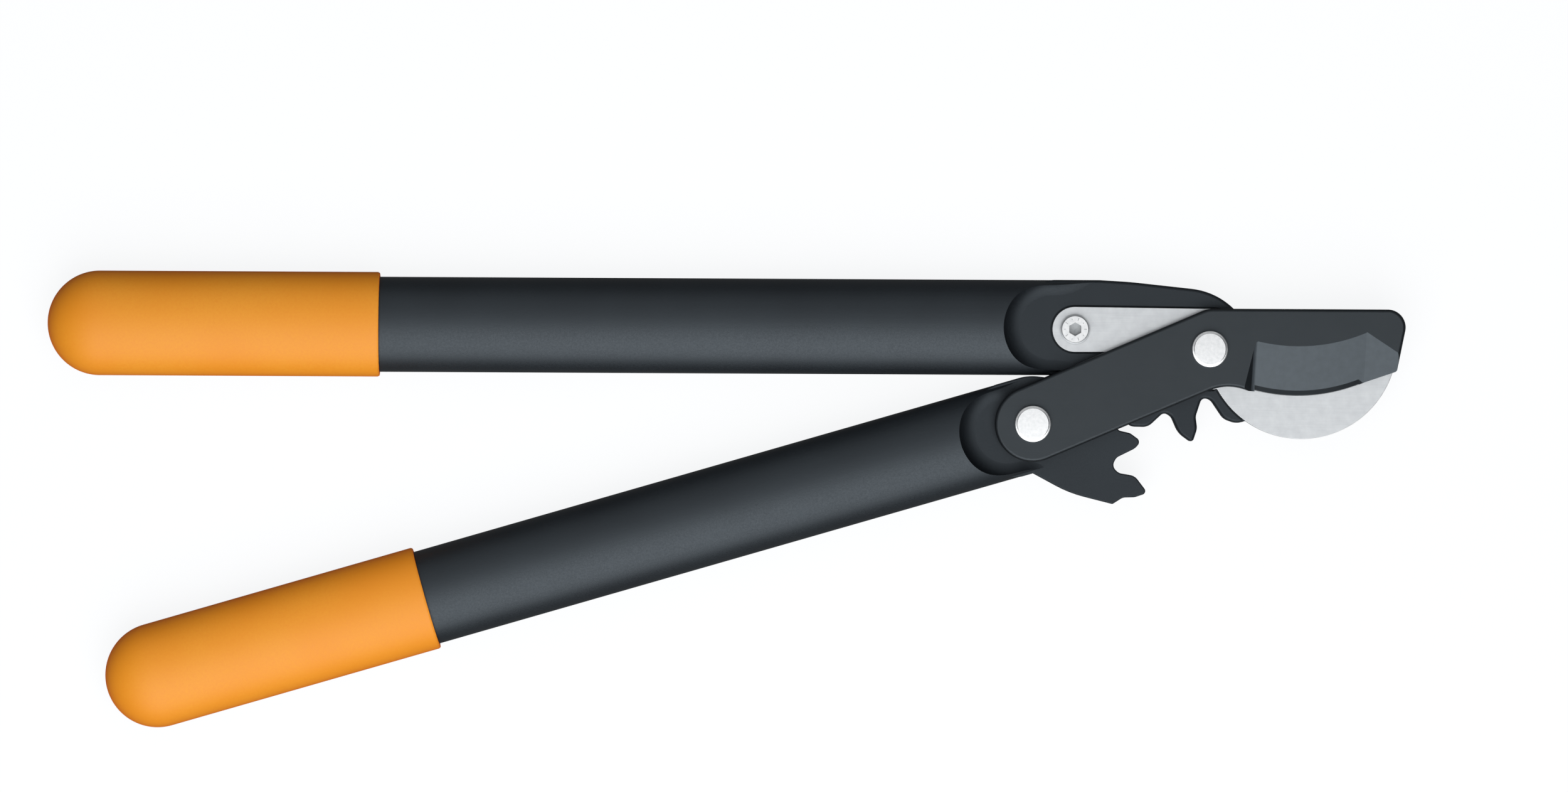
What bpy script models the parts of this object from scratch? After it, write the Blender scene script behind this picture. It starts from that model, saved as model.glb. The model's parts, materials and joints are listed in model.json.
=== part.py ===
"""Geared bypass lopper, jaws closed, lying flat on its back.

The blade and a strap behind it are the fixed frame. They carry two rivets. The upper handle
turns on the hook pivot with the hook screwed to it, the lower handle turns on the lower pivot,
and uneven gear teeth moulded on both handles make them open together.

Origin: centre of the hook pivot, on the surface that the tool lies on. +X runs along the upper
handle towards the jaws, +Y across it, +Z up from the surface. Units are metres.
"""

from math import acos, atan2, cos, pi, radians, sin, tan

import bmesh
import bpy
from mathutils import Matrix, Vector

MM = 0.001

# Clearances
GAP = 0.3 * MM                    # between pieces that seat on, or slide past, each other
TOOTH_CLEARANCE = 0.7 * MM        # from a tooth's tip to the bottom of its valley
POCKET_CLEARANCE = 0.6 * MM       # round the hook in its pocket
PLATE_PROUD = 0.05 * MM           # gear plate beyond the handle's widest line and its floor

# Layers, from the surface up
REAR_HEAD_THICKNESS = 1.5 * MM
STRAP_THICKNESS = 3.0 * MM
WASHER_THICKNESS = 0.5 * MM
GEAR_PLATE_THICKNESS = 9.0 * MM
HOOK_THICKNESS = 3.5 * MM
BLADE_THICKNESS = 4.0 * MM
FRONT_HEAD_THICKNESS = 1.7 * MM

# Handles and grips
TUBE_WIDTH = 32.0 * MM
TUBE_HEIGHT = 20.0 * MM
TUBE_WALL = 3.0 * MM
GRIP_WALL = 1.6 * MM
GRIP_LENGTH = 111.8 * MM
GRIP_END = 17.6 * MM              # length of the grip's closed round end, behind the tube
GRIP_LIP = 0.6 * MM               # chamfer round the grip's mouth
UPPER_REACH = 390.9 * MM          # hook pivot to the tip of the upper grip
LOWER_REACH = 323.9 * MM          # lower pivot to the tip of the lower grip
HANDLE_SPREAD = radians(16.3)     # between the handles when the jaws are closed
BORE_FRONT_WALL = 9.0 * MM        # solid stretch between the bore and the shoulder

# Pivots
UNDERSIDE_DROP = 9.0 * MM         # upper handle's underside below the hook pivot
PIVOT_STEP = 59.3 * MM            # lower pivot behind the hook pivot
SHANK_RADIUS = 4.0 * MM
FRONT_HEAD_RADIUS = 6.1 * MM
REAR_HEAD_RADIUS = 5.6 * MM
HEAD_CHAMFER = 0.5 * MM
BUSH_WALL = 1.5 * MM
WASHER_RADIUS = 8.5 * MM

# Shoulders where the handles step down to the gear plates
SHOULDER_FILLET = 6.0 * MM
UPPER_SHOULDER = 53.0 * MM        # hook pivot to the centre of the shoulder's arc
LOWER_SHOULDER = 8.8 * MM         # lower pivot to the centre of the shoulder's arc
STUB_OVERLAP = 3.0 * MM           # gear plate sunk into the handle past its shoulder
STUB_TAPER = 4.0 * MM
STUB_ROUNDING = 12.0 * MM
PLATE_EDGE = 0.9 * MM             # rounding of the gear plates' edges

# Gear teeth: angle from the line of centres with the jaws closed, and tip radius
GEAR_RATIO = 1.2                  # upper handle's turn for each unit of the lower handle's
UPPER_TOOTH_1 = (radians(17.5), 37.0 * MM)
UPPER_TOOTH_2 = (radians(57.0), 32.1 * MM)
UPPER_TOOTH_3 = (radians(93.0), 27.2 * MM)
LOWER_TOOTH_1 = (radians(-1.5), 35.8 * MM)
LOWER_TOOTH_2 = (radians(31.9), 37.0 * MM)
LOWER_TOOTH_3 = (radians(53.8), 45.2 * MM)

# Upper gear plate round the hook pivot
UPPER_HUB_RADIUS = 16.5 * MM
UPPER_CREST = (2.5 * MM, 19.4 * MM)
UPPER_NOSE = (13.0 * MM, 8.9 * MM)
UPPER_BACK_ROUNDING = 60.0 * MM
UPPER_CREST_ROUNDING = 24.0 * MM

# Lower gear plate's flank, from its longest tooth back to the handle
LOWER_FLANK = (radians(31), 18.8 * MM)     # angle past that tooth, and drop from its tip
LOWER_FLANK_ROUNDING = 40.0 * MM

# Blade
ARM_WIDTH = 25.5 * MM
BLADE_TOP = 13.6 * MM
BLADE_REACH = 67.1 * MM
HEEL_FILLET = 10.0 * MM
TOE_FILLET = 6.0 * MM
TOE_BOTTOM = (62.9 * MM, -7.2 * MM)
EDGE_CENTRE = (29.5 * MM, 41.4 * MM)
EDGE_RADIUS = 57.0 * MM
EDGE_START = 17.3 * MM            # where the cutting edge's arc begins and ends, along X
EDGE_END = 52.4 * MM
EDGE_HEEL = (13.2 * MM, -13.98 * MM, 4.0 * MM)
CHOIL = (6.3 * MM, -11.75 * MM, 16.0 * MM)   # small arch between the edge and the arm
CHOIL_SETBACK = 5.0 * MM          # where the arch meets the arm, behind the hook pivot
BLADE_CORNER = 1.2 * MM           # rounding of the outline's small corners
GRIND_CENTRE = (29.7 * MM, 59.6 * MM)
GRIND_RADIUS = 58.5 * MM          # of the arc where the ground face starts
GRIND_SLOPE = 0.169
STRIP_SLOPE = 0.65                # steeper strip along the edge
STRIP_START = 15.9 * MM
STRIP_END = 52.4 * MM
EDGE_LAND = 0.3 * MM              # steel left at the very edge
STEP_START = 16.2 * MM            # wall at the rear end of the ground face
STEP_LINE = Vector((-4.0, -16.2, 0))
STEP_SLOPE = radians(42)
NOSE_START = 53.7 * MM            # flat facet, from the ground face's front end
NOSE_TOP_END = Vector((64.1 * MM, -1.0 * MM))
NOSE_VALLEY_END = Vector((52.8 * MM, -8.1 * MM))

# Hook
HOOK_HUB_RADIUS = 13.6 * MM
HOOK_OUTER_CENTRE = (30.9 * MM, 2.3 * MM)
HOOK_OUTER_RADIUS = 32.3 * MM
HOOK_INNER_CENTRE = (33.4 * MM, 19.9 * MM)
HOOK_INNER_RADIUS = 32.0 * MM
HOOK_TIP_TRIM = radians(1.5)      # blunts the hook's point
TANG_LENGTH = 45.2 * MM           # hook pivot to the centre of the tang's round end
TANG_RISE = 6.45 * MM
TANG_END_RADIUS = 7.6 * MM

# Screw and nut that hold the tang
SCREW_HEAD_RADIUS = 4.8 * MM
SCREW_HEAD_HEIGHT = 2.4 * MM
SCREW_SHANK_RADIUS = 2.9 * MM
SOCKET_WIDTH = 4.0 * MM
SOCKET_DEPTH = 1.6 * MM
NUT_WIDTH = 10.0 * MM
NUT_THICKNESS = 3.2 * MM

# Facets round the turned pieces
TUBE_SIDES = 40
PIVOT_SIDES = 32
GRIP_END_RINGS = 8
FILLET_ROOM = 0.96                # share of a side that its two corners' arcs may take up

# Worked out from the values above
STRAP_BOTTOM = REAR_HEAD_THICKNESS + GAP
STRAP_TOP = STRAP_BOTTOM + STRAP_THICKNESS
PLATE_BOTTOM = STRAP_TOP + GAP + WASHER_THICKNESS + GAP
PLATE_TOP = PLATE_BOTTOM + GEAR_PLATE_THICKNESS
BLADE_BOTTOM = PLATE_TOP + GAP + WASHER_THICKNESS + GAP
BLADE_FACE = BLADE_BOTTOM + BLADE_THICKNESS
HOOK_TOP = BLADE_BOTTOM - GAP
HOOK_BOTTOM = HOOK_TOP - HOOK_THICKNESS
POCKET_FLOOR = HOOK_BOTTOM - GAP
OPEN = 30 * MM                    # how far cutters run out into the air
GRIP_HALF_WIDTH = TUBE_WIDTH / 2 + GRIP_WALL
GRIP_HALF_HEIGHT = TUBE_HEIGHT / 2 + GRIP_WALL
HANDLE_MID = GRIP_HALF_HEIGHT     # the grips lie on the surface
UPPER_AXIS = TUBE_WIDTH / 2 - UNDERSIDE_DROP
BOSS_RADIUS = TUBE_WIDTH / 2 + PLATE_PROUD
SHOULDER_RADIUS = TUBE_WIDTH / 2 + GAP
STUB_LENGTH = SHOULDER_RADIUS + STUB_OVERLAP
LOWER_PIVOT = Vector((-PIVOT_STEP, -(UNDERSIDE_DROP + PLATE_PROUD + GAP + BOSS_RADIUS)))
PIVOT_SPACING = LOWER_PIVOT.length
CENTRE_LINE = atan2(LOWER_PIVOT.y, LOWER_PIVOT.x) + 2 * pi
BUSH_RADIUS = SHANK_RADIUS + GAP + BUSH_WALL
SCREW_PLACE = (-TANG_LENGTH, TANG_RISE)


def polar(angle, radius, rounding=0.0, centre=(0, 0)):
    """Outline corner at an angle and a distance from a centre."""
    return (centre[0] + radius * cos(angle), centre[1] + radius * sin(angle), rounding)


def arc(centre, radius, start, end, steps):
    """Points along an arc, both ends included."""
    return [polar(start + (end - start) * i / steps, radius, 0.0, centre) for i in range(steps + 1)]


def rounded(corners, turn=radians(10)):
    """Outline points of a polygon whose corners (x, y, rounding) become arcs that fit its sides."""
    places = [Vector(corner[:2]) for corner in corners]
    count = len(corners)
    sides, halves, setbacks = [], [], []
    for i, place in enumerate(places):
        to_last, to_next = places[i - 1] - place, places[(i + 1) % count] - place
        cosine = max(-1.0, min(1.0, to_last.normalized().dot(to_next.normalized())))
        sides.append(to_last.length)
        halves.append(acos(cosine) / 2)
        setbacks.append(corners[i][2] / tan(halves[i]))
    room = [min(1.0, FILLET_ROOM * sides[i] / max(setbacks[i - 1] + setbacks[i], MM / 1000))
            for i in range(count)]
    points = []
    for i, corner in enumerate(places):
        radius = corners[i][2] * min(room[i], room[(i + 1) % count])
        if radius <= 0:
            points.append(corner)
            continue
        to_last = (places[i - 1] - corner).normalized()
        to_next = (places[(i + 1) % count] - corner).normalized()
        centre = corner + (to_last + to_next).normalized() * radius / sin(halves[i])
        first = corner + to_last * radius / tan(halves[i]) - centre
        last = corner + to_next * radius / tan(halves[i]) - centre
        start = atan2(first.y, first.x)
        sweep = (atan2(last.y, last.x) - start + pi) % (2 * pi) - pi
        steps = max(1, round(abs(sweep) / turn))
        points += [Vector(p[:2]) for p in arc(centre, radius, start, start + sweep, steps)]
    return points


def crossing(centre_a, radius_a, centre_b, radius_b, side):
    """Point where two circles cross, on the left (1) or right (-1) going from a to b."""
    a, b = Vector(centre_a), Vector(centre_b)
    apart = (b - a).length
    along = (b - a) / apart
    reach = (apart ** 2 + radius_a ** 2 - radius_b ** 2) / (2 * apart)
    offset = side * (radius_a ** 2 - reach ** 2) ** 0.5
    return a + along * reach + Vector((-along.y, along.x)) * offset


def bearing(point, centre=(0, 0)):
    """Angle of a point seen from a centre."""
    return atan2(point[1] - centre[1], point[0] - centre[0])


def linear(code):
    """Linear colour of an sRGB hex code."""
    parts_of = [int(code[i:i + 2], 16) / 255 for i in (1, 3, 5)]
    return [c / 12.92 if c <= 0.04045 else ((c + 0.055) / 1.055) ** 2.4 for c in parts_of]


def make_material(name, code, metallic, roughness):
    """Principled material of one finish."""
    material = bpy.data.materials.new(name)
    material.use_nodes = True
    shader = material.node_tree.nodes["Principled BSDF"]
    shader.inputs["Base Color"].default_value = (*linear(code), 1.0)
    shader.inputs["Metallic"].default_value = metallic
    shader.inputs["Roughness"].default_value = roughness
    material.diffuse_color = (*linear(code), 1.0)
    return material


def add_worker(name, mesh):
    """Cutter or raw shape: a wire that never renders."""
    worker = bpy.data.objects.new(name, mesh)
    cutters.objects.link(worker)
    worker.hide_render = True
    worker.display_type = 'WIRE'
    return worker


def evaluated_mesh(item):
    """Mesh of an object as the viewport shows it, in world space."""
    bpy.context.view_layer.update()
    shown = item.evaluated_get(bpy.context.evaluated_depsgraph_get())
    mesh = bpy.data.meshes.new_from_object(shown)
    mesh.transform(item.matrix_world)
    return mesh


def plate(name, points, bottom, top, edge=0.0, segments=2, clamp=True):
    """Flat outline drawn as a filled curve, extruded and made a welded mesh."""
    curve = bpy.data.curves.new(name, 'CURVE')
    curve.dimensions = '2D'
    curve.fill_mode = 'BOTH'
    curve.extrude = (top - bottom) / 2
    spline = curve.splines.new('POLY')
    spline.points.add(len(points) - 1)
    for point, place in zip(spline.points, points):
        point.co = (place[0], place[1], 0, 1)
    spline.use_cyclic_u = True
    drawing = bpy.data.objects.new(name + "_drawing", curve)
    drawing.location.z = (bottom + top) / 2
    bpy.context.scene.collection.objects.link(drawing)
    mesh = evaluated_mesh(drawing)
    bpy.data.objects.remove(drawing)
    bpy.data.curves.remove(curve)
    shape = bmesh.new()
    shape.from_mesh(mesh)
    bmesh.ops.remove_doubles(shape, verts=shape.verts, dist=0.001 * MM)
    bmesh.ops.dissolve_limit(shape, angle_limit=radians(0.5), verts=shape.verts, edges=shape.edges)
    bmesh.ops.recalc_face_normals(shape, faces=shape.faces)
    shape.to_mesh(mesh)
    shape.free()
    item = add_worker(name, mesh)
    if edge > 0:
        bevel = item.modifiers.new("edge", 'BEVEL')
        bevel.width = edge
        bevel.segments = segments
        bevel.limit_method = 'ANGLE'
        bevel.angle_limit = radians(60)
        bevel.use_clamp_overlap = clamp
    return item


def turned(name, profile, steps=PIVOT_SIDES, centre=(0, 0)):
    """Profile (radius, height), top to bottom, turned about an upright axis."""
    mesh = bpy.data.meshes.new(name)
    mesh.from_pydata([(radius, 0, height) for radius, height in profile],
                     [(i, i + 1) for i in range(len(profile) - 1)], [])
    item = add_worker(name, mesh)
    item.location = (*centre, 0)
    screw = item.modifiers.new("turn", 'SCREW')
    screw.steps = steps
    screw.render_steps = steps
    screw.use_merge_vertices = True
    screw.merge_threshold = 0.001 * MM
    return item


def ring(name, inner, outer, bottom, top, centre=(0, 0)):
    """Flat ring such as a washer or a bush."""
    return turned(name, [(inner, top), (outer, top), (outer, bottom), (inner, bottom), (inner, top)],
                  centre=centre)


def disc(name, radius, bottom, top, centre=(0, 0)):
    """Plain round cutter."""
    return turned(name, [(0, top), (radius, top), (radius, bottom), (0, bottom)], centre=centre)


def hexagon(name, width, bottom, top, centre):
    """Six-sided prism of a given width across flats."""
    corner = width / 2 / cos(pi / 6)
    return plate(name, [polar(pi / 3 * i, corner, 0, centre) for i in range(6)], bottom, top)


def oval_bar(name, half_width, half_height, rear, front, axis):
    """Oval bar along X, from a cylinder whose scale is applied."""
    shape = bmesh.new()
    bmesh.ops.create_cone(shape, cap_ends=True, segments=TUBE_SIDES, radius1=1, radius2=1, depth=1)
    size = Matrix.Diagonal((half_height, half_width, front - rear, 1))
    place = Matrix.Translation(((rear + front) / 2, axis, HANDLE_MID))
    bmesh.ops.transform(shape, matrix=place @ Matrix.Rotation(radians(90), 4, 'Y') @ size, verts=shape.verts)
    mesh = bpy.data.meshes.new(name)
    shape.to_mesh(mesh)
    shape.free()
    return add_worker(name, mesh)


def slab(name, point, along, normal):
    """Big block behind a plane through a point, with the normal pointing away from it."""
    side = 4 * OPEN
    shape = bmesh.new()
    bmesh.ops.create_cube(shape, size=side)
    across = normal.cross(along).normalized()
    turn = Matrix((along.normalized(), across, normal.normalized())).transposed().to_4x4()
    middle = Vector(point) - normal.normalized() * side / 2
    bmesh.ops.transform(shape, matrix=Matrix.Translation(middle) @ turn, verts=shape.verts)
    bmesh.ops.recalc_face_normals(shape, faces=shape.faces)
    mesh = bpy.data.meshes.new(name)
    shape.to_mesh(mesh)
    shape.free()
    return add_worker(name, mesh)


def boolean(target, tool, operation='DIFFERENCE'):
    """Join or cut with the exact solver."""
    step = target.modifiers.new(tool.name, 'BOOLEAN')
    step.operation = operation
    step.solver = 'EXACT'
    step.object = tool


def finish(raw, name, material, parent=None, crease=radians(30)):
    """Turn a worked shape into the final piece, hung on its joint's empty."""
    raw_mesh = evaluated_mesh(raw)
    shape = bmesh.new()
    shape.from_mesh(raw_mesh)
    bmesh.ops.remove_doubles(shape, verts=shape.verts, dist=0.002 * MM)
    bmesh.ops.dissolve_degenerate(shape, edges=shape.edges, dist=0.002 * MM)
    shape.to_mesh(raw_mesh)
    shape.free()
    raw_mesh.name = name
    raw_mesh.materials.clear()
    raw_mesh.materials.append(material)
    raw_mesh.shade_smooth()
    raw_mesh.set_sharp_from_angle(angle=crease)
    bpy.data.objects.remove(raw)
    piece = bpy.data.objects.new(name, raw_mesh)
    parts.objects.link(piece)
    piece.parent = parent
    return piece


def upper_outline():
    """Upper gear plate: handle stub, crest, hub, then the teeth from the hook's side back."""
    def tooth(angle, radius, rounding):
        return polar(CENTRE_LINE + angle, radius, rounding)

    underside = -(UNDERSIDE_DROP + PLATE_PROUD)
    topside = UPPER_AXIS + BOSS_RADIUS
    valleys = [PIVOT_SPACING - tip - TOOTH_CLEARANCE
               for _, tip in (LOWER_TOOTH_1, LOWER_TOOTH_2, LOWER_TOOTH_3)]
    meets = [angle * GEAR_RATIO for angle, _ in (LOWER_TOOTH_1, LOWER_TOOTH_2, LOWER_TOOTH_3)]
    angle_1, tip_1 = UPPER_TOOTH_1
    angle_2, tip_2 = UPPER_TOOTH_2
    angle_3, tip_3 = UPPER_TOOTH_3
    return [
        (-UPPER_SHOULDER - STUB_LENGTH, topside - STUB_TAPER, 0),
        (-UPPER_SHOULDER, topside, STUB_ROUNDING),
        (-UPPER_SHOULDER / 2, topside - 0.6 * MM, UPPER_BACK_ROUNDING),
        (*UPPER_CREST, UPPER_CREST_ROUNDING),
        (*UPPER_NOSE, 4 * MM),
        (UPPER_HUB_RADIUS, UPPER_HUB_RADIUS * 0.2, 8 * MM),
        (UPPER_HUB_RADIUS * 0.9, -UPPER_HUB_RADIUS * 0.85, 8 * MM),
        tooth(angle_3 + radians(5), tip_3 + 0.5 * MM, 3.0 * MM),
        tooth(angle_3 - radians(6), tip_3 - 0.7 * MM, 5.0 * MM),
        tooth(angle_3 - radians(14), tip_3 - 3.2 * MM, 5.0 * MM),
        tooth(meets[2] + radians(3.9), valleys[2] - 1.9 * MM, 4.0 * MM),
        tooth(meets[2] - radians(6.1), valleys[2] - 1.9 * MM, 2.2 * MM),
        tooth(angle_2 - radians(1.2), tip_2 - 9.1 * MM, 4.0 * MM),
        tooth(angle_2 + radians(1.6), tip_2 - 5.1 * MM, 5.0 * MM),
        tooth(angle_2, tip_2, 1.1 * MM),
        tooth(angle_2 - radians(10), tip_2 - 2.1 * MM, 8.0 * MM),
        tooth(meets[1] - radians(0.3), valleys[1] - 0.8 * MM, 3.0 * MM),
        tooth(meets[1] - radians(6.8), valleys[1] - 0.8 * MM, 2.0 * MM),
        tooth(angle_1 + radians(11.4), tip_1 - 3.7 * MM, 4.5 * MM),
        tooth(angle_1 + radians(4), tip_1 + 0.2 * MM, 3.6 * MM),
        tooth(angle_1 - radians(4), tip_1, 1.8 * MM),
        tooth(meets[0] + radians(9.3), valleys[0] - 0.8 * MM, 1.8 * MM),
        tooth(meets[0] - radians(1.7), valleys[0] - 0.8 * MM, 1.5 * MM),
        (-PIVOT_STEP / 2, underside, 1.5 * MM),
        (-UPPER_SHOULDER, underside, STUB_ROUNDING),
        (-UPPER_SHOULDER - STUB_LENGTH, underside + STUB_TAPER, 0),
    ]


def lower_outline():
    """Lower gear plate: handle stub, flank, teeth, then the round boss back to the handle."""
    line = CENTRE_LINE - pi - HANDLE_SPREAD

    def tooth(angle, radius, rounding):
        return polar(line - angle, radius, rounding)

    valleys = [PIVOT_SPACING - tip - TOOTH_CLEARANCE for _, tip in (UPPER_TOOTH_1, UPPER_TOOTH_2)]
    meets = [angle / GEAR_RATIO for angle, _ in (UPPER_TOOTH_1, UPPER_TOOTH_2)]
    angle_1, tip_1 = LOWER_TOOTH_1
    angle_2, tip_2 = LOWER_TOOTH_2
    angle_3, tip_3 = LOWER_TOOTH_3
    neck = tooth(angle_1 - radians(0.3), tip_1 - 4.6 * MM, 3.0 * MM)
    boss_start = bearing(neck) + acos(BOSS_RADIUS / Vector(neck[:2]).length)
    return [
        (-LOWER_SHOULDER - STUB_LENGTH, -(BOSS_RADIUS - STUB_TAPER), 0),
        (-LOWER_SHOULDER, -BOSS_RADIUS, STUB_ROUNDING),
        (-LOWER_SHOULDER / 2, -BOSS_RADIUS, 0.5 * MM),
        tooth(angle_3 + LOWER_FLANK[0], tip_3 - LOWER_FLANK[1], LOWER_FLANK_ROUNDING),
        tooth(angle_3 + radians(14.2), tip_3 - 7.1 * MM, 0.8 * MM),
        tooth(angle_3 + radians(8.3), tip_3 - 6.0 * MM, 3.0 * MM),
        tooth(angle_3 + radians(4.8), tip_3 - 2.9 * MM, 3.0 * MM),
        tooth(angle_3, tip_3, 1.3 * MM),
        tooth(angle_3 - radians(4.0), tip_3 - 6.6 * MM, 4.0 * MM),
        tooth(angle_3 - radians(1.2), tip_3 - 11.8 * MM, 3.4 * MM),
        tooth(meets[1] + radians(3.4), valleys[1] - 1.4 * MM, 2.4 * MM),
        tooth(meets[1] - radians(2.7), valleys[1] - 1.3 * MM, 3.0 * MM),
        tooth(angle_2 + radians(4.3), tip_2 - 1.4 * MM, 5.0 * MM),
        tooth(angle_2, tip_2, 1.6 * MM),
        tooth(angle_2 - radians(3.6), tip_2 - 4.0 * MM, 2.5 * MM),
        tooth(angle_2 - radians(4.6), tip_2 - 7.8 * MM, 1.5 * MM),
        tooth(meets[0] + radians(5.4), valleys[0] - 0.3 * MM, 2.0 * MM),
        tooth(meets[0] - radians(4.8), valleys[0] - 0.3 * MM, 1.6 * MM),
        tooth(angle_1 + radians(3.0), tip_1 - 0.7 * MM, 1.1 * MM),
        tooth(angle_1 - radians(2.5), tip_1, 1.1 * MM),
        neck,
        *arc((0, 0), BOSS_RADIUS, boss_start, pi / 2, 3),
        (-LOWER_SHOULDER, BOSS_RADIUS, STUB_ROUNDING),
        (-LOWER_SHOULDER - STUB_LENGTH, BOSS_RADIUS - STUB_TAPER, 0),
    ]


def hook_outline(grow=0.0):
    """Hook: tang with a round end, hub round the pivot, and a crescent between two arcs."""
    tang, tang_radius = (-TANG_LENGTH, TANG_RISE), TANG_END_RADIUS + grow
    hub_radius = HOOK_HUB_RADIUS + grow
    outer, inner = HOOK_OUTER_RADIUS + grow, HOOK_INNER_RADIUS - grow
    tang_bottom = TANG_RISE - tang_radius
    throat = crossing((0, 0), hub_radius, HOOK_OUTER_CENTRE, outer, -1)
    tip = crossing(HOOK_OUTER_CENTRE, outer, HOOK_INNER_CENTRE, inner, -1)
    root = crossing((0, 0), hub_radius, HOOK_INNER_CENTRE, inner, -1)
    outline = arc(tang, tang_radius, pi / 2, 3 * pi / 2, 14)
    hub_start = 2 * pi - acos(-((hub_radius ** 2 - tang_bottom ** 2) ** 0.5) / hub_radius)
    outline += arc((0, 0), hub_radius, hub_start, bearing(throat) + 2 * pi, 6)
    outer_start = bearing(throat, HOOK_OUTER_CENTRE) + 2 * pi
    outer_end = bearing(tip, HOOK_OUTER_CENTRE) + 2 * pi
    if outer_end < outer_start:
        outer_end += 2 * pi
    outline += arc(HOOK_OUTER_CENTRE, outer, outer_start, outer_end - HOOK_TIP_TRIM, 32)[1:]
    inner_start = bearing(tip, HOOK_INNER_CENTRE)
    inner_end = bearing(root, HOOK_INNER_CENTRE)
    if inner_end > inner_start:
        inner_end -= 2 * pi
    outline += arc(HOOK_INNER_CENTRE, inner, inner_start - HOOK_TIP_TRIM, inner_end, 18)
    outline += arc((0, 0), hub_radius, bearing(root), pi / 2, 12)[1:]
    return outline


def stadium(start, end, radius, steps=14):
    """Outline of a bar with a round end at each of two points."""
    side = bearing(end, start) + pi / 2
    return arc(start, radius, side, side + pi, steps) + arc(end, radius, side + pi, side + 2 * pi, steps)


def below_arc(centre, radius, start, stop, steps):
    """Points along the lower side of a circle, from stop back to start along X."""
    first = acos((start - centre[0]) / radius)
    last = acos((stop - centre[0]) / radius)
    return arc(centre, radius, -last, -first, steps)


def blade_outline():
    """Blade: arm back to the lower pivot, straight top, toe, curved edge and choil."""
    arm = -LOWER_PIVOT.normalized()
    side = Vector((-arm.y, arm.x)) * ARM_WIDTH / 2
    heel = side + arm * (BLADE_TOP - side.y) / arm.y
    arm_end = -side - arm * CHOIL_SETBACK
    corners = [(heel.x, heel.y, HEEL_FILLET),
               (BLADE_REACH, BLADE_TOP, TOE_FILLET),
               (*TOE_BOTTOM, BLADE_CORNER)]
    corners += below_arc(EDGE_CENTRE, EDGE_RADIUS, EDGE_START, EDGE_END, 16)
    corners += [EDGE_HEEL, CHOIL, (arm_end.x, arm_end.y, BLADE_CORNER)]
    outward = bearing(LOWER_PIVOT)
    corners += arc(LOWER_PIVOT, ARM_WIDTH / 2, outward + pi / 2, outward - pi / 2, 16)
    return rounded(corners)


def shoulder_outline(centre, axis, front):
    """Slot with one round end that steps a handle down to its gear plate."""
    end = arc((centre, axis), SHOULDER_RADIUS, pi / 2, 3 * pi / 2, 20)
    flare, side = centre + SHOULDER_FILLET, SHOULDER_RADIUS + SHOULDER_FILLET
    return end + [(flare, axis - side), (front, axis - side), (front, axis + side), (flare, axis + side)]


def handle(name, axis, shoulder, reach, outline):
    """Oval tube, hollow from its rear end, stepped down to a toothed gear plate."""
    rear = -(reach - GRIP_END)
    front = -shoulder + SHOULDER_FILLET
    bar = oval_bar(name + "_bar", TUBE_WIDTH / 2, TUBE_HEIGHT / 2, rear, front, axis)
    slot = shoulder_outline(-shoulder, axis, front + OPEN)
    for side, bottom, top in (("front", PLATE_TOP - PLATE_PROUD, HANDLE_MID + OPEN),
                              ("rear", HANDLE_MID - OPEN, PLATE_BOTTOM + PLATE_PROUD)):
        boolean(bar, plate(name + "_" + side + "_step", slot, bottom, top, SHOULDER_FILLET, 5, clamp=False))
    boolean(bar, plate(name + "_gear", rounded(outline), PLATE_BOTTOM, PLATE_TOP, PLATE_EDGE), 'UNION')
    bore_front = -(shoulder + SHOULDER_RADIUS + BORE_FRONT_WALL)
    boolean(bar, oval_bar(name + "_bore", TUBE_WIDTH / 2 - TUBE_WALL, TUBE_HEIGHT / 2 - TUBE_WALL,
                          rear - OPEN, bore_front, axis))
    boolean(bar, disc(name + "_pivot_hole", BUSH_RADIUS + GAP, -OPEN, HANDLE_MID + OPEN))
    return bar


def grip(name, axis, reach):
    """Soft sleeve with a closed round end, pushed over the tube."""
    width, height = GRIP_HALF_WIDTH, GRIP_HALF_HEIGHT
    mouth = GRIP_LENGTH - GRIP_END
    profile = [(0, mouth), (width - GRIP_LIP, mouth), (width, mouth - GRIP_LIP)]
    profile += [(width * cos(pi / 2 * i / GRIP_END_RINGS), -GRIP_END * sin(pi / 2 * i / GRIP_END_RINGS))
                for i in range(GRIP_END_RINGS)]
    profile.append((0, -GRIP_END))
    sleeve = turned(name + "_sleeve", profile, TUBE_SIDES)
    mesh = evaluated_mesh(sleeve)
    bpy.data.objects.remove(sleeve)
    place = Matrix.Translation((GRIP_END - reach, axis, HANDLE_MID))
    mesh.transform(place @ Matrix.Rotation(radians(90), 4, 'Y') @ Matrix.Diagonal((height / width, 1, 1, 1)))
    raw = add_worker(name + "_raw", mesh)
    pocket_end = GRIP_END - reach - GAP
    boolean(raw, oval_bar(name + "_pocket", TUBE_WIDTH / 2 + GAP, TUBE_HEIGHT / 2 + GAP,
                          pocket_end, GRIP_LENGTH - reach + OPEN, axis))
    return raw


def make_upper_handle(material, hinge):
    """Upper handle with the hook's pocket, the screw hole and the nut's pocket."""
    raw = handle("upper", UPPER_AXIS, UPPER_SHOULDER, UPPER_REACH, upper_outline())
    boolean(raw, plate("hook_pocket", hook_outline(POCKET_CLEARANCE), POCKET_FLOOR, HANDLE_MID + OPEN))
    boolean(raw, disc("screw_hole", SCREW_SHANK_RADIUS + GAP, -OPEN, HANDLE_MID + OPEN, SCREW_PLACE))
    boolean(raw, hexagon("nut_pocket", NUT_WIDTH + 2 * GAP, -OPEN, PLATE_BOTTOM + NUT_THICKNESS + 2 * GAP,
                         SCREW_PLACE))
    return finish(raw, "upper_handle", material, hinge)


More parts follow.
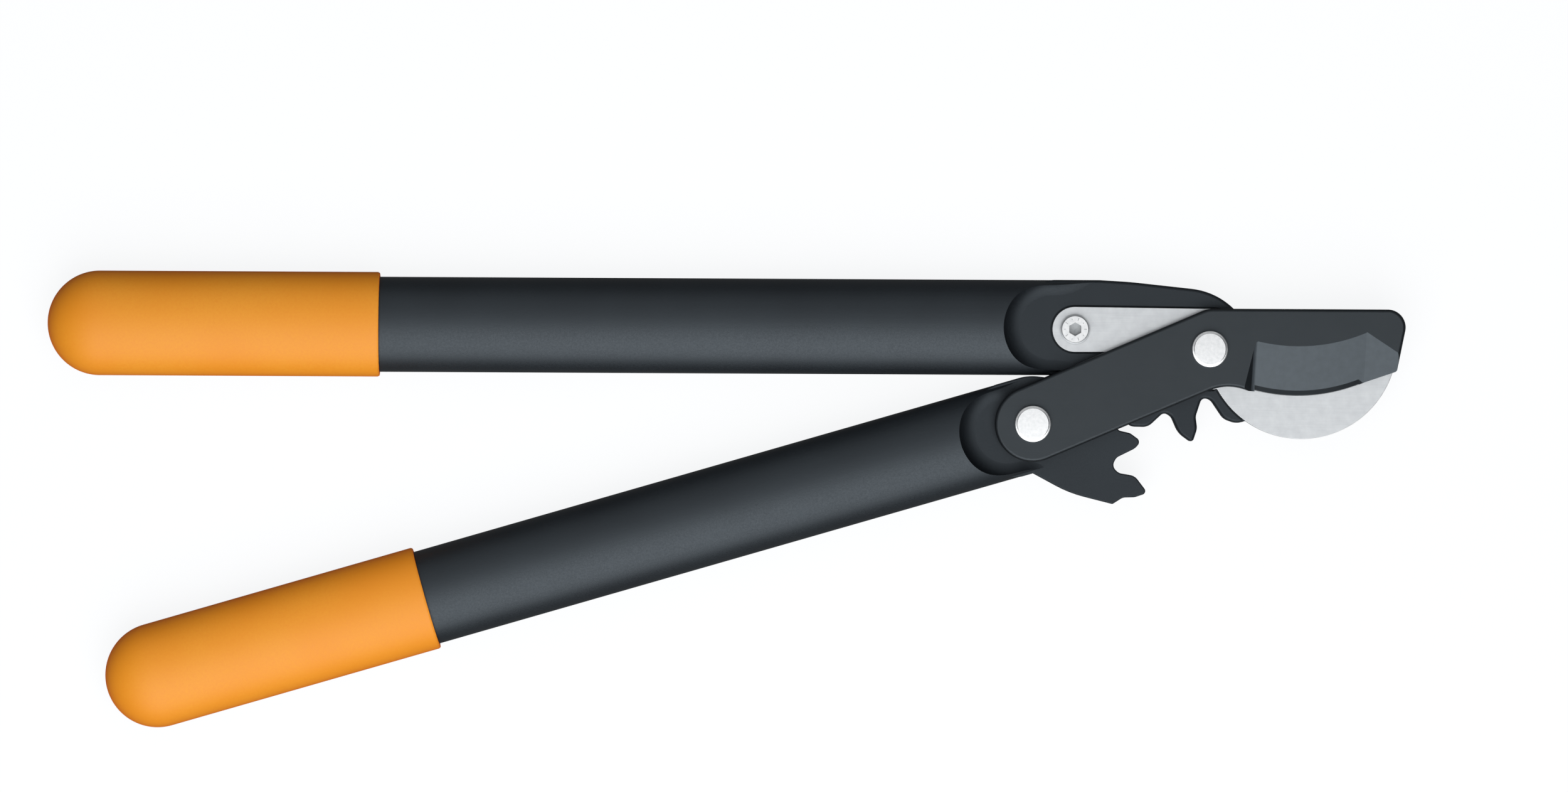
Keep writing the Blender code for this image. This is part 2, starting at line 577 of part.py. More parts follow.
def make_lower_handle(material, hinge):
    """Lower handle, whose shoulder sits close behind its pivot."""
    raw = handle("lower", 0.0, LOWER_SHOULDER, LOWER_REACH, lower_outline())
    return finish(raw, "lower_handle", material, hinge)


def make_hook(material, hinge):
    """Flat steel hook with holes for the pivot and the screw."""
    raw = plate("hook_blank", hook_outline(), HOOK_BOTTOM, HOOK_TOP)
    boolean(raw, disc("hook_pivot_hole", SHANK_RADIUS + GAP, -OPEN, HANDLE_MID + OPEN))
    boolean(raw, disc("hook_screw_hole", SCREW_SHANK_RADIUS + GAP, -OPEN, HANDLE_MID + OPEN, SCREW_PLACE))
    return finish(raw, "hook", material, hinge)


def wheel_cut(name, centre, radius, start, stop, height, slope):
    """Cutter under an arc. Its face holds that arc at some height and climbs towards +Y."""
    lift = 1 * MM
    outline = below_arc(centre, radius, start, stop, 24)
    outline += [(start, -OPEN, 0), (stop, -OPEN, 0)]
    item = plate(name, outline, BLADE_BOTTOM - lift, BLADE_FACE + lift)
    lean = Matrix.Identity(4)
    lean[1][2] = 1 / slope
    level = Matrix.Translation((0, 0, height))
    item.data.transform(level @ lean @ level.inverted())
    return item


def make_blade(material):
    """Blade with a hollow ground face, a steep strip along its edge and a flat facet on its nose."""
    def grind_start(x):
        return GRIND_CENTRE[1] - (GRIND_RADIUS ** 2 - (x - GRIND_CENTRE[0]) ** 2) ** 0.5

    up = Vector((0, 0, 1))
    grind = wheel_cut("grind", GRIND_CENTRE, GRIND_RADIUS, EDGE_START - OPEN / 2, EDGE_END + OPEN,
                      BLADE_FACE, GRIND_SLOPE)
    to_front = up.cross(STEP_LINE).normalized()
    boolean(grind, slab("step_wall", (STEP_START, grind_start(STEP_START), BLADE_FACE), STEP_LINE,
                        to_front * sin(STEP_SLOPE) + up * cos(STEP_SLOPE)))
    apex = Vector((NOSE_START, grind_start(NOSE_START), BLADE_FACE))
    top_edge = Vector((*NOSE_TOP_END, BLADE_FACE)) - apex
    valley_end = Vector((*NOSE_VALLEY_END, BLADE_FACE))
    valley_end.z -= GRIND_SLOPE * (grind_start(valley_end.x) - valley_end.y)
    boolean(grind, slab("nose", apex, top_edge, (valley_end - apex).cross(top_edge)))
    raw = plate("blade_blank", blade_outline(), BLADE_BOTTOM, BLADE_FACE)
    boolean(raw, grind)
    boolean(raw, wheel_cut("strip", EDGE_CENTRE, EDGE_RADIUS, STRIP_START, STRIP_END,
                           BLADE_BOTTOM + EDGE_LAND, STRIP_SLOPE))
    for label, place in (("hook", (0, 0)), ("lower", LOWER_PIVOT)):
        boolean(raw, disc(label + "_blade_hole", SHANK_RADIUS + GAP, -OPEN, HANDLE_MID + OPEN, place))
    return finish(raw, "blade", material, crease=radians(4))


def make_back_strap(material):
    """Flat strap behind the gears, the same shape as the blade's arm."""
    raw = plate("strap_blank", stadium(LOWER_PIVOT, (0, 0), ARM_WIDTH / 2), STRAP_BOTTOM, STRAP_TOP)
    for label, place in (("hook", (0, 0)), ("lower", LOWER_PIVOT)):
        boolean(raw, disc(label + "_strap_hole", SHANK_RADIUS + GAP, -OPEN, HANDLE_MID + OPEN, place))
    return finish(raw, "back_strap", material)


def make_rivet(name, place, material):
    """Rivet: front head, shank and closed rear head."""
    head_bottom = BLADE_FACE + GAP
    head_top = head_bottom + FRONT_HEAD_THICKNESS
    profile = [(0, head_top),
               (FRONT_HEAD_RADIUS - HEAD_CHAMFER, head_top),
               (FRONT_HEAD_RADIUS, head_top - HEAD_CHAMFER),
               (FRONT_HEAD_RADIUS, head_bottom),
               (SHANK_RADIUS, head_bottom),
               (SHANK_RADIUS, REAR_HEAD_THICKNESS),
               (REAR_HEAD_RADIUS, REAR_HEAD_THICKNESS),
               (REAR_HEAD_RADIUS, HEAD_CHAMFER),
               (REAR_HEAD_RADIUS - HEAD_CHAMFER, 0),
               (0, 0)]
    return finish(turned(name + "_raw", profile, centre=place), name, material)


def make_washer(name, place, bottom, material):
    """Thin washer that keeps two plates apart."""
    raw = ring(name + "_raw", SHANK_RADIUS + GAP, WASHER_RADIUS, bottom, bottom + WASHER_THICKNESS, place)
    return finish(raw, name, material)


def make_bush(name, top, material, hinge):
    """Sleeve in a gear plate that turns on the rivet's shank."""
    raw = ring(name + "_raw", SHANK_RADIUS + GAP, BUSH_RADIUS, PLATE_BOTTOM, top)
    return finish(raw, name, material, hinge)


def make_hook_screw(material, hinge):
    """Low round-head screw with a hexagon socket."""
    seat = HOOK_TOP + GAP
    top = seat + SCREW_HEAD_HEIGHT
    profile = [(0, top),
               (SCREW_HEAD_RADIUS - HEAD_CHAMFER, top),
               (SCREW_HEAD_RADIUS, top - HEAD_CHAMFER),
               (SCREW_HEAD_RADIUS, seat),
               (SCREW_SHANK_RADIUS, seat),
               (SCREW_SHANK_RADIUS, PLATE_BOTTOM + GAP),
               (0, PLATE_BOTTOM + GAP)]
    raw = turned("screw_raw", profile, centre=SCREW_PLACE)
    boolean(raw, hexagon("socket", SOCKET_WIDTH, top - SOCKET_DEPTH, top + OPEN, SCREW_PLACE))
    return finish(raw, "hook_screw", material, hinge)


def make_hook_nut(material, hinge):
    """Thin nut held in the pocket behind the upper gear plate."""
    bottom = PLATE_BOTTOM + GAP
    raw = hexagon("nut_raw", NUT_WIDTH, bottom, bottom + NUT_THICKNESS, SCREW_PLACE)
    boolean(raw, disc("nut_hole", SCREW_SHANK_RADIUS + GAP, -OPEN, HANDLE_MID + OPEN, SCREW_PLACE))
    return finish(raw, "hook_nut", material, hinge)


def make_hinge(name, place, turn):
    """Empty on a pivot's axis that carries everything that turns on it."""
    hinge = bpy.data.objects.new(name, None)
    hinge.location = (*place, 0)
    hinge.rotation_euler.z = turn
    parts.objects.link(hinge)
    return hinge


for leftover in list(bpy.data.objects):
    bpy.data.objects.remove(leftover)
parts = bpy.data.collections.new("geared_lopper")
cutters = bpy.data.collections.new("cutters")
for group in (parts, cutters):
    bpy.context.scene.collection.children.link(group)

coated_steel = make_material("coated_steel", "#3D4246", 0.3, 0.45)
bright_steel = make_material("bright_steel", "#DADBDD", 1.0, 0.3)
moulded_black = make_material("moulded_black", "#24292D", 0.0, 0.5)
orange_rubber = make_material("orange_rubber", "#EC9424", 0.0, 0.6)
white_nylon = make_material("white_nylon", "#E4E2DC", 0.0, 0.5)

upper_hinge = make_hinge("upper_hinge", (0, 0), 0.0)
lower_hinge = make_hinge("lower_hinge", LOWER_PIVOT, HANDLE_SPREAD)

make_blade(coated_steel)
make_back_strap(coated_steel)
make_rivet("hook_pivot_rivet", (0, 0), bright_steel)
make_rivet("lower_pivot_rivet", LOWER_PIVOT, bright_steel)
make_washer("hook_pivot_washer", (0, 0), STRAP_TOP + GAP, white_nylon)
make_washer("lower_pivot_rear_washer", LOWER_PIVOT, STRAP_TOP + GAP, white_nylon)
make_washer("lower_pivot_front_washer", LOWER_PIVOT, PLATE_TOP + GAP, white_nylon)

make_upper_handle(moulded_black, upper_hinge)
make_bush("upper_bush", POCKET_FLOOR, bright_steel, upper_hinge)
make_hook(bright_steel, upper_hinge)
make_hook_screw(bright_steel, upper_hinge)
make_hook_nut(bright_steel, upper_hinge)
finish(grip("upper_grip", UPPER_AXIS, UPPER_REACH), "upper_grip", orange_rubber, upper_hinge)

make_lower_handle(moulded_black, lower_hinge)
make_bush("lower_bush", PLATE_TOP, bright_steel, lower_hinge)
finish(grip("lower_grip", 0.0, LOWER_REACH), "lower_grip", orange_rubber, lower_hinge)
bpy.context.view_layer.update()
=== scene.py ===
"""Geared bypass lopper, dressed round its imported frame.

Metres. +X runs along the upper handle towards the jaws, +Z up from the floor that the tool lies
on, and the hook pivot stands at the origin. The sections follow the order of assembly: strap and
washers, the two handles, hook with its screw, blade, rivets and grips, then floor and light.
"""

import json
from math import acos, atan2, cos, pi, radians, sin, tan

import bmesh
import bpy
from mathutils import Matrix, Vector


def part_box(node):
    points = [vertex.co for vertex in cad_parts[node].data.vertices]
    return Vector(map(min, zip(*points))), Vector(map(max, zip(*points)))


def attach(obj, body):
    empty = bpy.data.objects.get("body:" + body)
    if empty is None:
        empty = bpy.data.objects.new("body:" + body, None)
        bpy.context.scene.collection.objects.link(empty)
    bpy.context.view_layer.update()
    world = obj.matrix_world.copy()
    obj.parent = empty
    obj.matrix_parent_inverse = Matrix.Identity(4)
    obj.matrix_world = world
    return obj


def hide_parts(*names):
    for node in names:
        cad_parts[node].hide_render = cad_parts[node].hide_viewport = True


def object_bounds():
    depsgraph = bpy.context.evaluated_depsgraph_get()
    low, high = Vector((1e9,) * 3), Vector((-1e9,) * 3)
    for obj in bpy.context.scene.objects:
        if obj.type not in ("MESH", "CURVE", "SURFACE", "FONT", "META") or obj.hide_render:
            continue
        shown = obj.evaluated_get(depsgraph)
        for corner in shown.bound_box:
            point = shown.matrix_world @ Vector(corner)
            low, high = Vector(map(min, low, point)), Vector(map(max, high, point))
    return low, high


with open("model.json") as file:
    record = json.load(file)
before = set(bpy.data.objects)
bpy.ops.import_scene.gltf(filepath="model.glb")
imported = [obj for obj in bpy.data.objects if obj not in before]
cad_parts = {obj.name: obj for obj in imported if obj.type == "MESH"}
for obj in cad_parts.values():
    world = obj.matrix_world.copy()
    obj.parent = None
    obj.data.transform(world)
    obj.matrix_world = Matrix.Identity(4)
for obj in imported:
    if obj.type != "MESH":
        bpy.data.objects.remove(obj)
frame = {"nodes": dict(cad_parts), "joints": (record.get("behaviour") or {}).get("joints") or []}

cad_low, cad_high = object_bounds()

# Back strap
# A flat bar that holds the rear ends of both rivets behind the gears. It is blanked from the
# blade's steel, tumbled until its edges are soft, and coated dark grey against sap and rust.
MM = 0.001
pivots = {joint["name"]: Vector(joint["pos_m"]).to_2d() for joint in frame["joints"]}
HOOK_PIVOT = pivots["upper_handle_turn"]
LOWER_PIVOT = pivots["lower_handle_turn"]
GAP = 0.3 * MM                    # running clearance between pieces
SHANK_HOLE = 4.3 * MM
ARM_WIDTH = 25.5 * MM
STRAP_EDGE = 0.6 * MM
COATING_DARK = "#101316"
COATING_LIGHT = "#17191C"
COATING_SHEEN = "#D3E0E9"         # faint blue cast of the coating's gloss
COATING_ROUGHNESS = 0.42
COATING_IOR = 1.62
COATING_CLOUD = 9 * MM
STREAK_WIDTH = 0.35 * MM          # lines left by the grinding belt under the coating
STREAK_LENGTH = 40 * MM
ROUND_SIDES = 96                  # of a drilled hole and of the screw
CREASE = radians(30)              # a bend sharper than this keeps a crisp edge


def arc(centre, radius, start, end, steps):
    """Points along an arc, both ends included."""
    turn = (end - start) / steps
    return [(centre[0] + radius * cos(start + turn * i), centre[1] + radius * sin(start + turn * i))
            for i in range(steps + 1)]


def bearing(point, centre=(0, 0)):
    """Angle of a point seen from a centre."""
    return atan2(point[1] - centre[1], point[0] - centre[0])


def settle(piece):
    """Makes a piece's modifiers part of its mesh."""
    bpy.context.view_layer.update()
    shown = piece.evaluated_get(bpy.context.evaluated_depsgraph_get())
    mesh = bpy.data.meshes.new_from_object(shown)
    piece.modifiers.clear()
    piece.data = mesh


def new_piece(name, mesh, *materials):
    """Object at the origin for a mesh whose place is in its vertices."""
    for material in materials:
        mesh.materials.append(material)
    piece = bpy.data.objects.new(name, mesh)
    bpy.context.scene.collection.objects.link(piece)
    return piece


def from_shape(name, shape, *materials):
    """New piece from a finished bmesh, which is freed."""
    mesh = bpy.data.meshes.new(name)
    shape.to_mesh(mesh)
    shape.free()
    return new_piece(name, mesh, *materials)


def prism(outline, sweep):
    """Closed bmesh made of an outline, as points in space, swept along a vector."""
    shape = bmesh.new()
    base = shape.faces.new([shape.verts.new(point) for point in outline])
    moved = bmesh.ops.extrude_face_region(shape, geom=[base])["geom"]
    bmesh.ops.translate(shape, vec=sweep,
                        verts=[v for v in moved if isinstance(v, bmesh.types.BMVert)])
    bmesh.ops.recalc_face_normals(shape, faces=shape.faces)
    return shape


def plate(name, outline, bottom, top, front_edge, rear_edge, segments, *materials, profile=0.5):
    """Flat blank whose front and rear edges are rounded over. Round profiles are kept from
    crossing in tight corners, and any other profile keeps its full size there."""
    shape = prism([(x, y, bottom) for x, y in outline], (0, 0, top - bottom))
    for edge, height in ((front_edge, top), (rear_edge, bottom)):
        rim = [e for e in shape.edges if all(abs(v.co.z - height) < GAP / 100 for v in e.verts)]
        if edge > 0:
            bmesh.ops.bevel(shape, geom=rim, offset=edge, segments=segments, profile=profile,
                            affect='EDGES', clamp_overlap=profile == 0.5)
    return from_shape(name, shape, *materials)


def combine(piece, tool, operation='DIFFERENCE'):
    """Cuts a piece by another, or joins them, and uses the tool up."""
    step = piece.modifiers.new("combine", 'BOOLEAN')
    step.operation = operation
    step.solver = 'EXACT'
    step.material_mode = 'TRANSFER'
    step.object = tool
    settle(piece)
    bpy.data.objects.remove(tool)


def round_cutter(name, radius, bottom, top, centre, tip=None):
    """Plain upright cylinder that drills a hole, or a cone when its lower end has a tip radius."""
    shape = bmesh.new()
    bmesh.ops.create_cone(shape, cap_ends=True, segments=ROUND_SIDES, radius2=radius,
                          radius1=radius if tip is None else tip, depth=top - bottom)
    bmesh.ops.translate(shape, vec=(*centre, (bottom + top) / 2), verts=shape.verts)
    return from_shape(name, shape)


def soften(piece):
    """Smooth shading, crisp at creases and between finishes; flat faces keep their direction."""
    shape = bmesh.new()
    shape.from_mesh(piece.data)
    bmesh.ops.remove_doubles(shape, verts=shape.verts, dist=MM / 2000)
    bmesh.ops.dissolve_degenerate(shape, edges=shape.edges, dist=MM / 2000)
    for face in shape.faces:
        face.smooth = True
    for edge in shape.edges:
        finishes = {face.material_index for face in edge.link_faces}
        edge.smooth = len(finishes) == 1 and edge.calc_face_angle(0) < CREASE
    shape.to_mesh(piece.data)
    shape.free()
    step = piece.modifiers.new("flats", 'WEIGHTED_NORMAL')
    step.keep_sharp = True
    settle(piece)


def linear(code):
    """Linear colour, with alpha, of an sRGB hex code."""
    parts = [int(code[i:i + 2], 16) / 255 for i in (1, 3, 5)]
    return (*[c / 12.92 if c <= 0.04045 else ((c + 0.055) / 1.055) ** 2.4 for c in parts], 1.0)


def add_node(tree, kind, inputs=None, **settings):
    """Adds a node, sets its settings, and links or fills the inputs named."""
    node = tree.nodes.new(kind)
    for name, value in settings.items():
        setattr(node, name, value)
    for name, value in (inputs or {}).items():
        if isinstance(value, bpy.types.NodeSocket):
            tree.links.new(value, node.inputs[name])
        else:
            node.inputs[name].default_value = value
    return node


def new_finish(name, metallic, roughness, ior=1.5, sheen="#FFFFFF"):
    """New material; returns it with its node tree and its Principled shader."""
    material = bpy.data.materials.new(name)
    material.use_nodes = True
    shader = material.node_tree.nodes["Principled BSDF"]
    shader.inputs["Metallic"].default_value = metallic
    shader.inputs["Roughness"].default_value = roughness
    shader.inputs["IOR"].default_value = ior
    shader.inputs["Specular Tint"].default_value = linear(sheen)
    return material, material.node_tree, shader


# Thin grey non-stick coating sprayed on ground steel: satin, with the belt's faint lines along X
# showing through it
blade_coating, tree, shader = new_finish("sprayed_coating_on_ground_steel", 0.0, COATING_ROUGHNESS,
                                         COATING_IOR, COATING_SHEEN)
place = add_node(tree, 'ShaderNodeTexCoord').outputs["Object"]
along = add_node(tree, 'ShaderNodeMapping', {
    "Vector": place, "Scale": (1 / STREAK_LENGTH, 1 / STREAK_WIDTH, 1 / STREAK_WIDTH)})
streaks = add_node(tree, 'ShaderNodeTexNoise', {
    "Vector": along.outputs[0], "Scale": 1.0, "Detail": 3.0, "Roughness": 0.6}).outputs["Fac"]
clouds = add_node(tree, 'ShaderNodeTexNoise', {
    "Vector": place, "Scale": 1 / COATING_CLOUD, "Detail": 2.0}).outputs["Fac"]
amount = add_node(tree, 'ShaderNodeMath', {0: streaks, 1: clouds}, operation='MULTIPLY')
spread = add_node(tree, 'ShaderNodeMapRange', {"Value": amount.outputs[0], 1: 0.12, 2: 0.4})
tone = add_node(tree, 'ShaderNodeMix', {
    0: spread.outputs[0], 6: linear(COATING_DARK), 7: linear(COATING_LIGHT)}, data_type='RGBA')
sheen = add_node(tree, 'ShaderNodeMapRange', {
    "Value": streaks, 1: 0.3, 2: 0.7, 3: COATING_ROUGHNESS - 0.05, 4: COATING_ROUGHNESS + 0.07})
relief = add_node(tree, 'ShaderNodeBump', {
    "Height": streaks, "Strength": 0.12, "Distance": 0.03 * MM})
tree.links.new(tone.outputs[2], shader.inputs["Base Color"])
tree.links.new(sheen.outputs[0], shader.inputs["Roughness"])
tree.links.new(relief.outputs[0], shader.inputs["Normal"])

strap_low, strap_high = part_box("back_strap")
side = bearing(HOOK_PIVOT, LOWER_PIVOT) + pi / 2
strap_outline = (arc(LOWER_PIVOT, ARM_WIDTH / 2, side, side + pi, 64)
                 + arc(HOOK_PIVOT, ARM_WIDTH / 2, side + pi, side + 2 * pi, 64))
strap = plate("coated_strap", strap_outline, strap_low.z, strap_high.z, STRAP_EDGE, STRAP_EDGE, 4,
              blade_coating)
for pivot in (HOOK_PIVOT, LOWER_PIVOT):
    combine(strap, round_cutter("drill", SHANK_HOLE, strap_low.z - GAP, strap_high.z + GAP, pivot))
soften(strap)
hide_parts("back_strap")
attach(strap, "blade_frame")

# Washers
# Three thin rings punched from natural nylon sheet, loose on the rivets, that keep the steel
# from rubbing on the gear plates. The sheet is milky white and a little waxy.
material, tree, shader = new_finish("natural_nylon_sheet", 0.0, 0.45, 1.53)
haze = add_node(tree, 'ShaderNodeTexNoise', {
    "Vector": add_node(tree, 'ShaderNodeTexCoord').outputs["Object"],
    "Scale": 1 / (1.5 * MM), "Detail": 2.0})
tone = add_node(tree, 'ShaderNodeMix', {
    0: haze.outputs["Fac"], 6: linear("#D9D7CF"), 7: linear("#E9E7E1")}, data_type='RGBA')
tree.links.new(tone.outputs[2], shader.inputs["Base Color"])
for name in ("hook_pivot_washer", "lower_pivot_rear_washer", "lower_pivot_front_washer"):
    frame["nodes"][name].data.materials[0] = material

# Lower handle
# An oval tube moulded in one piece with a toothed gear plate, from nylon filled with glass
# fibre. Its tool was spark eroded, which leaves a fine even grain, near black and half matt.
TUBE_WIDTH = 32.0 * MM
TUBE_HEIGHT = 20.0 * MM
GRIP_WALL = 1.6 * MM
TUBE_SIDES = 160
PLATE_PROUD = 0.05 * MM
PLATE_EDGE = 1.1 * MM
SHOULDER_FILLET = 7.5 * MM
SHOULDER_BLEND = 0.62             # profile of that fillet, fuller than a circle so that it fades out
LOWER_FLARE = 8.5 * MM            # length over which the fillet runs out along the handle's sides
FLARE_ROUNDING = 30 * MM
STUB_OVERLAP = 3.0 * MM
STUB_TAPER = 4.0 * MM
STUB_ROUNDING = 12 * MM
TOOTH_CLEARANCE = 0.7 * MM
GEAR_RATIO = 1.2
LOWER_SHOULDER = 8.8 * MM
LOWER_REACH = 323.9 * MM          # from the lower pivot to the end of the grip
BUSH_HOLE = 6.1 * MM
HANDLE_SPREAD = radians(16.3)
UPPER_TOOTH_1 = (radians(17.5), 37.0 * MM)
UPPER_TOOTH_2 = (radians(57.0), 32.1 * MM)
UPPER_TOOTH_3 = (radians(93.0), 27.2 * MM)
LOWER_TOOTH_1 = (radians(-1.5), 35.8 * MM)
LOWER_TOOTH_2 = (radians(31.9), 37.0 * MM)
LOWER_TOOTH_3 = (radians(53.8), 45.2 * MM)
LOWER_FLANK = (radians(31), 18.8 * MM)   # middle of the flank, measured from the third tooth's tip
LOWER_FLANK_ROUNDING = 40 * MM
FILLET_ROOM = 0.96                # share of a side that its two corners' arcs may take up
ARC_TURN = radians(4)             # between two points of a rounded corner
NYLON_DARK = "#13161A"
NYLON_LIGHT = "#1B1F23"
NYLON_SHEEN = "#E4F2FD"
GRAIN = 0.6 * MM                  # real grain is 0.1 mm, drawn coarser so that it shows
FLOW = 22 * MM                    # slow clouds left as the nylon filled the mould

bush_low, bush_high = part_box("lower_bush")
plate_bottom, plate_top = bush_low.z, bush_high.z
handle_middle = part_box("lower_grip")[1].z / 2
pivot_spacing = (LOWER_PIVOT - HOOK_PIVOT).length
centre_line = bearing(LOWER_PIVOT) + 2 * pi
boss_radius = TUBE_WIDTH / 2 + PLATE_PROUD
shoulder_radius = TUBE_WIDTH / 2 + GAP
stub_length = shoulder_radius + STUB_OVERLAP


def polar(angle, radius, rounding=0.0):
    """Outline corner at an angle and a distance from the pivot."""
    return (radius * cos(angle), radius * sin(angle), rounding)


def rounded(corners):
    """Outline points of a polygon whose corners (x, y, rounding) become arcs that fit its sides."""
    places = [Vector(corner[:2]) for corner in corners]
    count = len(corners)
    sides, halves, setbacks = [], [], []
    for i, place in enumerate(places):
        to_last, to_next = places[i - 1] - place, places[(i + 1) % count] - place
        cosine = max(-1.0, min(1.0, to_last.normalized().dot(to_next.normalized())))
        sides.append(to_last.length)
        halves.append(acos(cosine) / 2)
        setbacks.append(corners[i][2] / tan(halves[i]))
    room = [min(1.0, FILLET_ROOM * sides[i] / max(setbacks[i - 1] + setbacks[i], MM / 1000))
            for i in range(count)]
    points = []
    for i, corner in enumerate(places):
        radius = corners[i][2] * min(room[i], room[(i + 1) % count])
        if radius <= 0:
            points.append(tuple(corner))
            continue
        to_last = (places[i - 1] - corner).normalized()
        to_next = (places[(i + 1) % count] - corner).normalized()
        centre = corner + (to_last + to_next).normalized() * radius / sin(halves[i])
        first = corner + to_last * radius / tan(halves[i]) - centre
        last = corner + to_next * radius / tan(halves[i]) - centre
        start = atan2(first.y, first.x)
        sweep = (atan2(last.y, last.x) - start + pi) % (2 * pi) - pi
        points += arc(centre, radius, start, start + sweep, max(1, round(abs(sweep) / ARC_TURN)))
    return points


def lower_outline():
    """Lower gear plate: handle stub, flank, teeth, then the round boss back to the handle."""
    line = centre_line - pi - HANDLE_SPREAD

    def tooth(angle, radius, rounding):
        return polar(line - angle, radius, rounding)

    valleys = [pivot_spacing - tip - TOOTH_CLEARANCE for _, tip in (UPPER_TOOTH_1, UPPER_TOOTH_2)]
    meets = [angle / GEAR_RATIO for angle, _ in (UPPER_TOOTH_1, UPPER_TOOTH_2)]
    angle_1, tip_1 = LOWER_TOOTH_1
    angle_2, tip_2 = LOWER_TOOTH_2
    angle_3, tip_3 = LOWER_TOOTH_3
    neck = tooth(angle_1 - radians(0.3), tip_1 - 4.6 * MM, 3.0 * MM)
    boss_start = bearing(neck) + acos(boss_radius / Vector(neck[:2]).length)
    return [
        (-LOWER_SHOULDER - stub_length, -(boss_radius - STUB_TAPER), 0),
        (-LOWER_SHOULDER, -boss_radius, STUB_ROUNDING),
        (-LOWER_SHOULDER / 2, -boss_radius, 0.5 * MM),
        tooth(angle_3 + LOWER_FLANK[0], tip_3 - LOWER_FLANK[1], LOWER_FLANK_ROUNDING),
        tooth(angle_3 + radians(14.2), tip_3 - 7.1 * MM, 0.8 * MM),
        tooth(angle_3 + radians(8.3), tip_3 - 6.0 * MM, 3.0 * MM),
        tooth(angle_3 + radians(4.8), tip_3 - 2.9 * MM, 3.0 * MM),
        tooth(angle_3, tip_3, 1.3 * MM),
        tooth(angle_3 - radians(4.0), tip_3 - 6.6 * MM, 4.0 * MM),
        tooth(angle_3 - radians(1.2), tip_3 - 11.8 * MM, 3.4 * MM),
        tooth(meets[1] + radians(3.4), valleys[1] - 1.4 * MM, 2.4 * MM),
        tooth(meets[1] - radians(2.7), valleys[1] - 1.3 * MM, 3.0 * MM),
        tooth(angle_2 + radians(4.3), tip_2 - 1.4 * MM, 5.0 * MM),
        tooth(angle_2, tip_2, 1.6 * MM),
        tooth(angle_2 - radians(3.6), tip_2 - 4.0 * MM, 2.5 * MM),
        tooth(angle_2 - radians(4.6), tip_2 - 7.8 * MM, 1.5 * MM),
        tooth(meets[0] + radians(5.4), valleys[0] - 0.3 * MM, 2.0 * MM),
        tooth(meets[0] - radians(4.8), valleys[0] - 0.3 * MM, 1.6 * MM),
        tooth(angle_1 + radians(3.0), tip_1 - 0.7 * MM, 1.1 * MM),
        tooth(angle_1 - radians(2.5), tip_1, 1.1 * MM),
        neck,
        *[(x, y, 0) for x, y in arc((0, 0), boss_radius, boss_start, pi / 2, 24)],
        (-LOWER_SHOULDER, boss_radius, STUB_ROUNDING),
        (-LOWER_SHOULDER - stub_length, boss_radius - STUB_TAPER, 0),
    ]


def oval_bar(name, half_width, half_height, rear, front, axis, *materials):
    """Oval bar along X at a given distance beside the pivot."""
    shape = bmesh.new()
    bmesh.ops.create_cone(shape, cap_ends=True, segments=TUBE_SIDES, radius1=1, radius2=1, depth=1)
    size = Matrix.Diagonal((half_height, half_width, front - rear, 1))
    place = Matrix.Translation(((rear + front) / 2, axis, handle_middle))
    bmesh.ops.transform(shape, matrix=place @ Matrix.Rotation(radians(90), 4, 'Y') @ size,
                        verts=shape.verts)
    return from_shape(name, shape, *materials)


def moulded_handle(name, axis, shoulder, flare, reach, outline):
    """Tube stepped down at its front to a toothed gear plate, in the handle's own frame."""
    rear = -(reach - TUBE_WIDTH / 2 - GRIP_WALL)
    front = -shoulder + flare
    piece = oval_bar(name, TUBE_WIDTH / 2, TUBE_HEIGHT / 2, rear, front, axis, tube_nylon)
    wide, far = shoulder_radius + SHOULDER_FILLET, front + TUBE_WIDTH
    ease = -shoulder + flare / 3
    end = [(x, y, 0) for x, y in arc((-shoulder, axis), shoulder_radius, pi / 2, 3 * pi / 2, 96)]
    slot = rounded(end + [
        (ease, axis - shoulder_radius, FLARE_ROUNDING), (front, axis - wide, 0), (far, axis - wide, 0),
        (far, axis + wide, 0), (front, axis + wide, 0), (ease, axis + shoulder_radius, FLARE_ROUNDING)])
    high, low = handle_middle + TUBE_HEIGHT, handle_middle - TUBE_HEIGHT
    combine(piece, plate("front_step", slot, plate_top - PLATE_PROUD, high, 0, SHOULDER_FILLET, 16,
                         plate_nylon, profile=SHOULDER_BLEND))
    combine(piece, plate("rear_step", slot, low, plate_bottom + PLATE_PROUD, SHOULDER_FILLET, 0, 16,
                         plate_nylon, profile=SHOULDER_BLEND))
    combine(piece, plate("gear", rounded(outline), plate_bottom, plate_top, PLATE_EDGE, PLATE_EDGE, 5,
                         plate_nylon), 'UNION')
    combine(piece, round_cutter("bush_seat", BUSH_HOLE, low, high, (0, 0)))
    return piece


